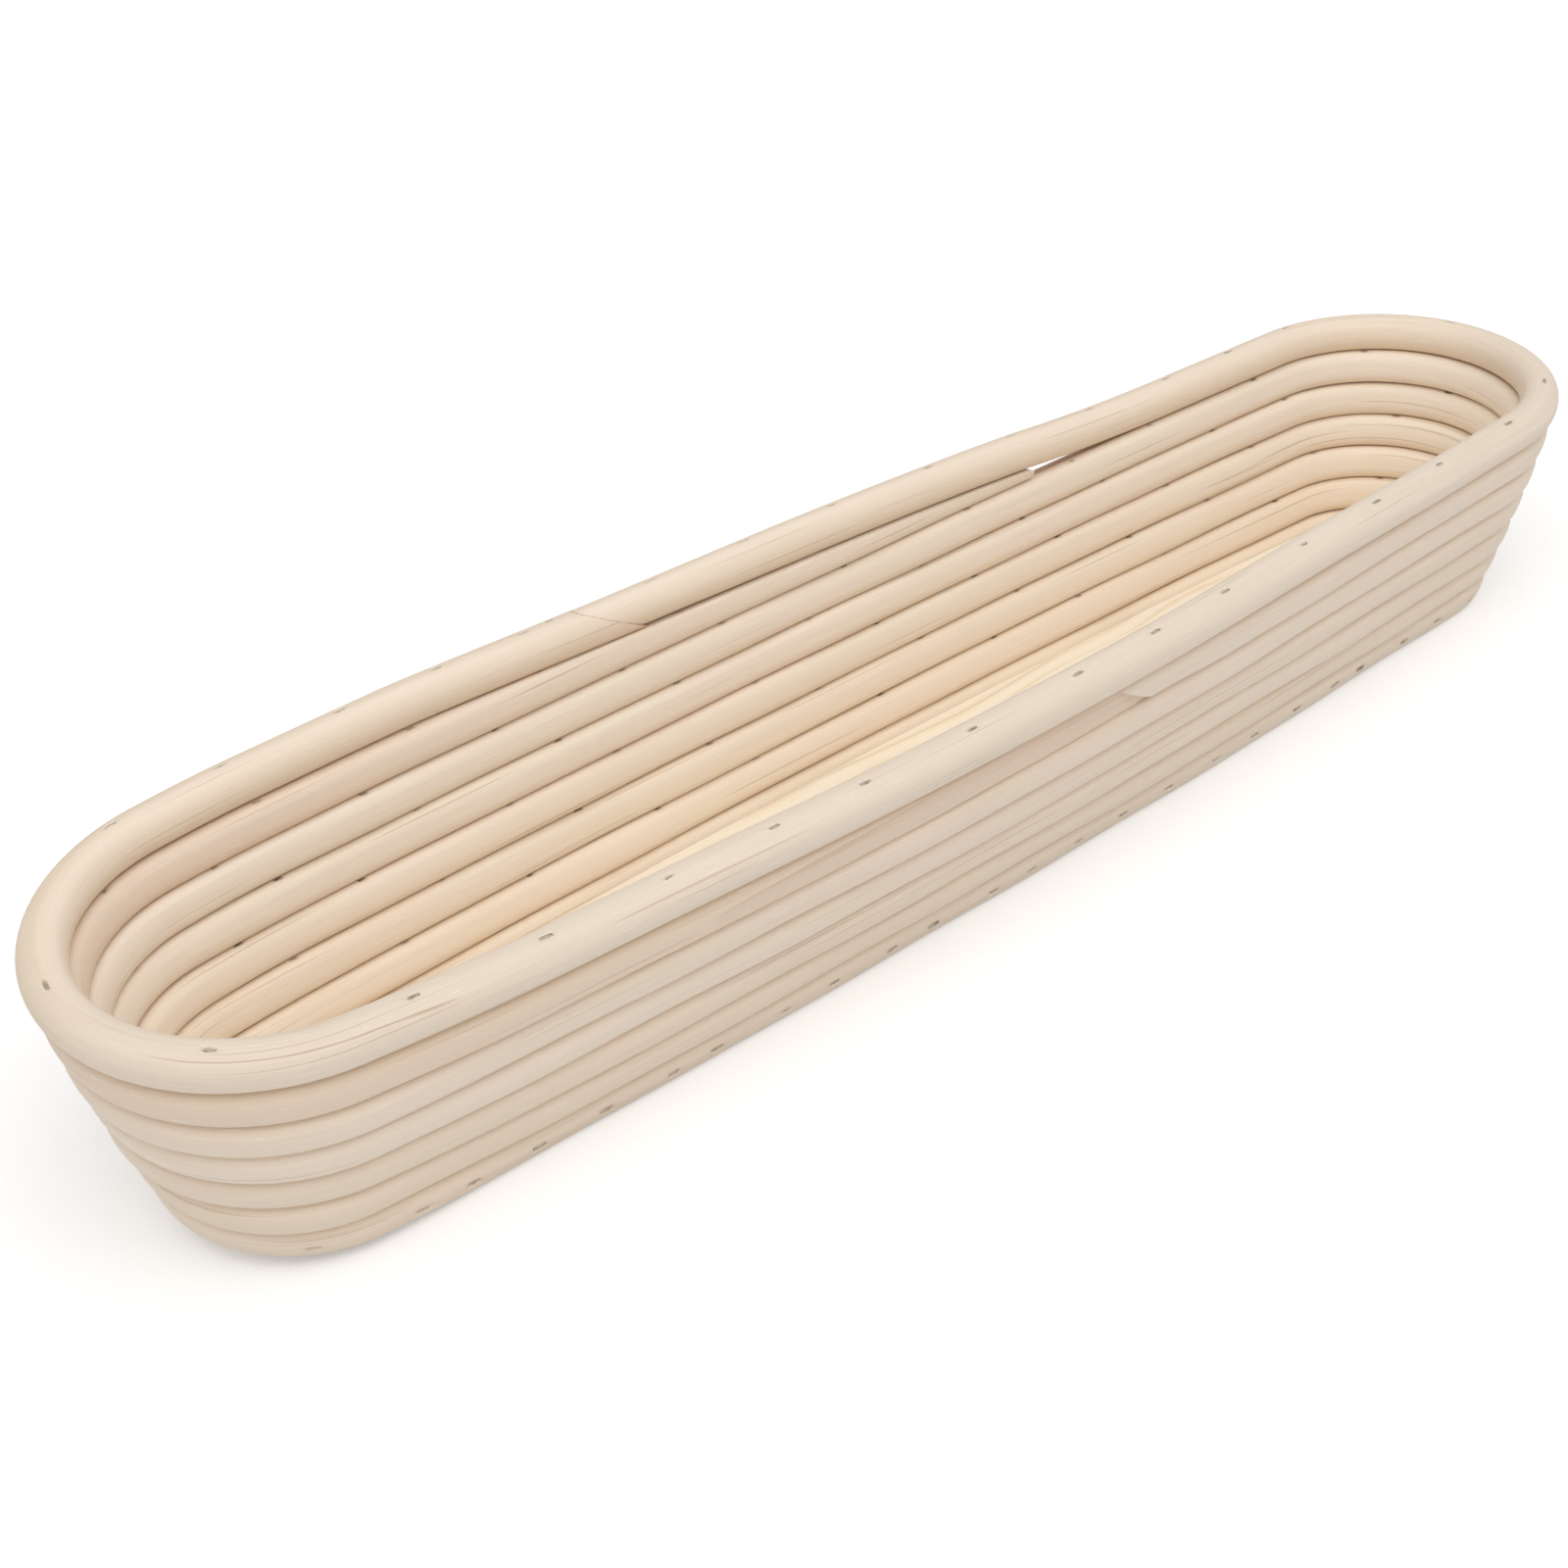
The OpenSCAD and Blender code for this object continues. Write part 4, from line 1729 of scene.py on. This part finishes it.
@dataclass(frozen=True)
class Spot:
    """Where a staple goes: top of its crown, way along it, way out of the cane, and its legs' length."""

    top: Array
    along: Array
    outward: Array
    leg: float


@dataclass
class StapleGroup:
    """All staples of one kind: flat wire, bent into a crown and two legs."""

    plan: WallPlan
    sizes: StaplePlan
    hold: Hold
    bend: float = 0.7
    bow: float = 0.12
    edge_share: float = 0.3
    bend_steps: int = 5
    crown_steps: int = 4
    turn_jitter: float = math.radians(4.0)
    wall_tilt: float = math.radians(14.0)
    squareness: float = Cane.squareness

    def path(self, leg: float) -> Array:
        """Line of one staple's outer face, from foot to foot over the crown.

        Args:
            leg: Length of the legs.

        Returns:
            Points: distance along the crown, and height above its ends.
        """
        half, bend = self.sizes.crown_len / 2.0, self.bend
        turned = np.linspace(0.0, math.pi / 2.0, self.bend_steps)
        corner = joined(half - bend + bend * np.sin(turned), bend * np.cos(turned) - bend)
        part = np.linspace(0.0, 1.0, self.crown_steps)
        crown = joined((half - bend) * part, self.bow * (1.0 - part ** 2))
        right = np.concatenate([crown[:-1], corner, [[half, -leg]]])
        return np.concatenate([(right * [-1.0, 1.0])[:0:-1], right])

    def wire(self, leg: float) -> tuple[Array, list[list[int]]]:
        """One staple, with its crown along Y at the top and its legs down.

        Args:
            leg: Length of the legs.

        Returns:
            Points and faces.
        """
        path = self.path(leg)
        along = np.gradient(path, axis=0)
        along /= np.linalg.norm(along, axis=1)[:, None]
        normal = joined(-along[:, 1], along[:, 0])
        half_w, half_t = self.sizes.wire_w / 2.0, self.sizes.wire_t / 2.0
        soft = self.edge_share * self.sizes.wire_t
        side = np.array([half_w, half_w - soft])
        face = np.array([half_t - soft, half_t])
        across = np.concatenate([-side, side[::-1], side, -side[::-1]])
        deep = np.concatenate([face, face[::-1], -face, -face[::-1]]) - half_t
        section = path[:, None, :] + deep[:, None] * normal[:, None, :]
        points = joined(across, section[..., 0], section[..., 1]).reshape(-1, 3)
        return points, MeshMaker.closed(len(path), len(across))

    def base_spot(self, q: Array) -> Spot:
        """Where a staple of the first turn goes: level, into the board.

        Args:
            q: Its place along the winding, as an array of one.

        Returns:
            Its spot.
        """
        p, drop = self.plan, self.sizes.base_drop
        rise = p.turn_rise(q)
        travel, _, _ = p.axes(q, rise)
        a = p.normal(q)[0]
        outward = np.array([math.cos(a), math.sin(a), 0.0])
        reach = math.sqrt((p.pitch / 2.0) ** 2 - drop ** 2)
        top = p.point(q, rise, 0.0)[0] + outward * reach - [0.0, 0.0, drop]
        return Spot(top, travel[0], outward, reach + p.cane_d / 2.0 + self.sizes.leg_bite)

    def wall_spot(self, q: Array) -> Spot:
        """Where a staple of the wall goes: down into the turn below, tilted from inside.

        Args:
            q: Its place along the winding, as an array of one.

        Returns:
            Its spot.
        """
        p, turned = self.plan, self.sizes.wall_angle()
        thick = float(p.close_thick(q)[0])
        reach = (thick + p.turn_gap) / 2.0 * float(squared(np.array(turned), self.squareness))
        rise = p.turn_rise(q) + (thick - p.cane_d) / 2.0 + reach * math.sin(turned)
        travel, up, out = (v[0] for v in p.axes(q, rise))
        tilted = up * math.cos(self.wall_tilt) - out * math.sin(self.wall_tilt)
        top = p.point(q, rise, reach * math.cos(turned))[0]
        return Spot(top, travel, tilted, thick + self.sizes.leg_bite)

    def rim_spot(self, q: Array) -> Spot:
        """Where a staple of the rim goes: down into the turn below.

        Args:
            q: Its place along the winding, as an array of one.

        Returns:
            Its spot.
        """
        p = self.plan
        rise = p.rim_rise(q) + p.rim_d / 2.0 + p.rim_gap / 2.0
        travel, up, _ = p.axes(q, rise)
        top = p.point(q, rise, p.joint_outward * p.near_joint(q))[0]
        return Spot(top, travel[0], up[0], p.rim_d + self.sizes.leg_bite)

    def dress(self, material: bpy.types.Material) -> bpy.types.Object:
        """Build the group and dress it.

        Args:
            material: What the wire wears.

        Returns:
            The object, which holds one closed form for each staple.
        """
        rng = np.random.default_rng(self.hold.seed)
        spot_of = {Hold.BASE: self.base_spot, Hold.WALL: self.wall_spot, Hold.RIM: self.rim_spot}[self.hold]
        points, faces, total = [], [], 0
        for crown in self.sizes.crowns(self.hold):
            spot = spot_of(np.array([crown.q]))
            yaw = rng.normal(0.0, self.turn_jitter)
            side = np.cross(spot.along, spot.outward)
            turned = spot.along * math.cos(yaw) + side * math.sin(yaw)
            axes = np.stack([np.cross(turned, spot.outward), turned, spot.outward])
            wire, wire_faces = self.wire(spot.leg)
            points.append(spot.top - spot.outward * crown.slit.sunk + wire @ axes)
            faces += [[v + total for v in face] for face in wire_faces]
            total += len(wire)
        return MeshMaker.piece(self.hold.value + "_wire", np.concatenate(points), faces, material)


def placed(x: Array, y: Array, z: Array, at: Array) -> Matrix:
    """Place an object.

    Args:
        x: Its X axis.
        y: Its Y axis.
        z: Its Z axis.
        at: Its origin.

    Returns:
        Its matrix.
    """
    rows = np.eye(4)
    rows[:3] = joined(x, y, z, at)
    return Matrix(rows.tolist())


@dataclass(frozen=True)
class Lamp:
    """A square soft lamp that points at the basket: watts, and lengths in metres."""

    name: str
    power: float
    size: float
    place: Place

    def hang(self) -> None:
        """Hang the lamp in the scene."""
        data = bpy.data.lights.new(self.name, "AREA")
        data.energy = self.power
        data.size = self.size
        lamp = bpy.data.objects.new(self.name, data)
        at = np.array(self.place)
        back = at / np.linalg.norm(at)
        right = np.cross([0.0, 1.0, 0.0], back)
        right /= np.linalg.norm(right)
        lamp.matrix_world = placed(right, np.cross(back, right), back, at)
        bpy.context.scene.collection.objects.link(lamp)


@dataclass(frozen=True)
class Studio:
    """White ground and soft light, in metres and watts."""

    floor_half: float = 4.0
    floor_tone: Colour = (0.87, 0.87, 0.87, 1.0)
    floor_glow: float = 0.24
    far_glow: float = 0.5
    far_span: Span = (0.24, 0.8)
    ambient: float = 0.54
    lamps: tuple[Lamp, ...] = (
        Lamp("key_lamp", power=14.3, size=1.5, place=(-0.2, -0.6, 1.44)),
        Lamp("fill_lamp", power=1.5, size=1.6, place=(-1.4, 0.2, 0.7)),
    )

    @staticmethod
    def shown(g: Graph) -> Value:
        """Tell rays that show the surroundings from those that light the basket.

        Args:
            g: Graph of a material or world.

        Returns:
            1 for rays to the camera, in gloss and through glass.
        """
        path = g.node("ShaderNodeLightPath", {}, {})
        camera, glossy, through = (Value(g, path.outputs[f"Is {kind} Ray"])
                                   for kind in ("Camera", "Glossy", "Transmission"))
        return (camera + glossy + through).within()

    def floor(self) -> None:
        """Lay the pale floor, which looks white and keeps the basket's shadow."""
        half = self.floor_half
        corners = [(-half, -half, 0.0), (half, -half, 0.0), (half, half, 0.0), (-half, half, 0.0)]
        mesh = bpy.data.meshes.new("stage_floor")
        mesh.from_pydata(corners, [], [(0, 1, 2, 3)])
        floor = bpy.data.objects.new("stage_floor", mesh)
        bpy.context.scene.collection.objects.link(floor)
        material, g = new_material("pale_floor")
        matt = g.node("ShaderNodeBsdfDiffuse", {}, {"Color": self.floor_tone})
        length = g.node("ShaderNodeVectorMath", {"operation": "LENGTH"}, {0: g.place()})
        away = Value(g, length.outputs["Value"])
        level = self.floor_glow + away.above(*self.far_span) * self.far_glow
        glow = g.node("ShaderNodeEmission", {}, {"Strength": self.shown(g) * level})
        both = g.node("ShaderNodeAddShader", {}, {0: matt.outputs[0], 1: glow.outputs[0]})
        g.node("ShaderNodeOutputMaterial", {}, {"Surface": both.outputs[0]})
        mesh.materials.append(material)

    def world(self) -> None:
        """Surround the scene with even light that shows as white."""
        world = bpy.data.worlds.new("studio")
        world.use_nodes = True
        bpy.context.scene.world = world
        g = Graph(world.node_tree)
        strength = self.ambient + self.shown(g) * (1.0 - self.ambient)
        sky = g.node("ShaderNodeBackground", {}, {"Color": WHITE, "Strength": strength})
        g.node("ShaderNodeOutputWorld", {}, {"Surface": sky.outputs[0]})

    def light(self) -> None:
        """Light the scene."""
        self.floor()
        self.world()
        for lamp in self.lamps:
            lamp.hang()
        log.info("studio: floor, world and %d lamps", len(self.lamps))


@dataclass(frozen=True)
class Viewpoint:
    """Camera at the photograph's angle: angles in radians, lengths in millimetres."""

    azimuth: float = -0.6547
    elevation: float = 0.5895
    roll: float = -0.0767
    distance: float = 552.9
    target: Place = (-43.9, -0.7, 35.0)
    focal_px: float = 2378.75
    image_px: float = 1600.0
    sensor: float = 36.0
    near_clip: float = 10.0

    def aim(self) -> None:
        """Create the camera and make it the scene's."""
        data = bpy.data.cameras.new("photo_camera")
        data.sensor_width = self.sensor
        data.lens = self.focal_px / self.image_px * self.sensor
        data.clip_start = self.near_clip * MM
        camera = bpy.data.objects.new("photo_camera", data)
        turn, tilt = self.azimuth, self.elevation
        level_back = np.array([math.sin(turn), -math.cos(turn), 0.0])
        back = level_back * math.cos(tilt) + np.array([0.0, 0.0, math.sin(tilt)])
        right = np.cross(-back, [0.0, 0.0, 1.0])
        right /= np.linalg.norm(right)
        up = np.cross(right, -back)
        rolled_right = right * math.cos(self.roll) + up * math.sin(self.roll)
        rolled_up = up * math.cos(self.roll) - right * math.sin(self.roll)
        place = (np.array(self.target) + back * self.distance) * MM
        camera.matrix_world = placed(rolled_right, rolled_up, back, place)
        bpy.context.scene.collection.objects.link(camera)
        bpy.context.scene.camera = camera
        log.info("camera: %.1f mm lens", data.lens)


class Basket:
    """The whole basket: its pieces in order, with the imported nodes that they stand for."""

    def __init__(self) -> None:
        """Plan the pieces and make their finishes."""
        self.plan = WallPlan.from_frame()
        self.staples = StaplePlan(self.plan)
        self.wall_finish = CaneFinish("wall_cane_bare").material()
        self.rim_finish = CaneFinish("rim_cane_bare").material()
        self.board_finish = BoardFinish("floor_wood_planed").material()
        self.wire_finish = WireFinish("staple_wire_dull").material()

    @staticmethod
    def stand_for(piece: bpy.types.Object, node: str, slot: str) -> None:
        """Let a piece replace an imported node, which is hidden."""
        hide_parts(node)

    def build(self) -> None:
        """Build and dress all pieces."""
        plan, staples = self.plan, self.staples
        parts = [
            (FloorBoard(plan).dress(self.board_finish), "floor_board", "floor_wood"),
            (WallCane(plan, staples).dress(self.wall_finish), "wall_cane", "wall_cane"),
            (ClosingCane(plan, staples).dress(self.wall_finish), "closing_cane", "wall_cane"),
            (RimCane(plan, staples).dress(self.rim_finish), "rim_cane", "rim_cane"),
        ]
        for hold in Hold:
            group = StapleGroup(plan, staples, hold)
            parts.append((group.dress(self.wire_finish), hold.value, "staple_wire"))
        for piece, node, slot in parts:
            self.stand_for(piece, node, slot)


def main() -> None:
    """Build the basket, light it and aim the camera."""
    logging.basicConfig(level=logging.INFO, format="%(name)s: %(message)s")
    bpy.context.scene.view_settings.view_transform = "Standard"
    Viewpoint().aim()
    Studio().light()
    Basket().build()


if __name__ == "__main__":
    main()
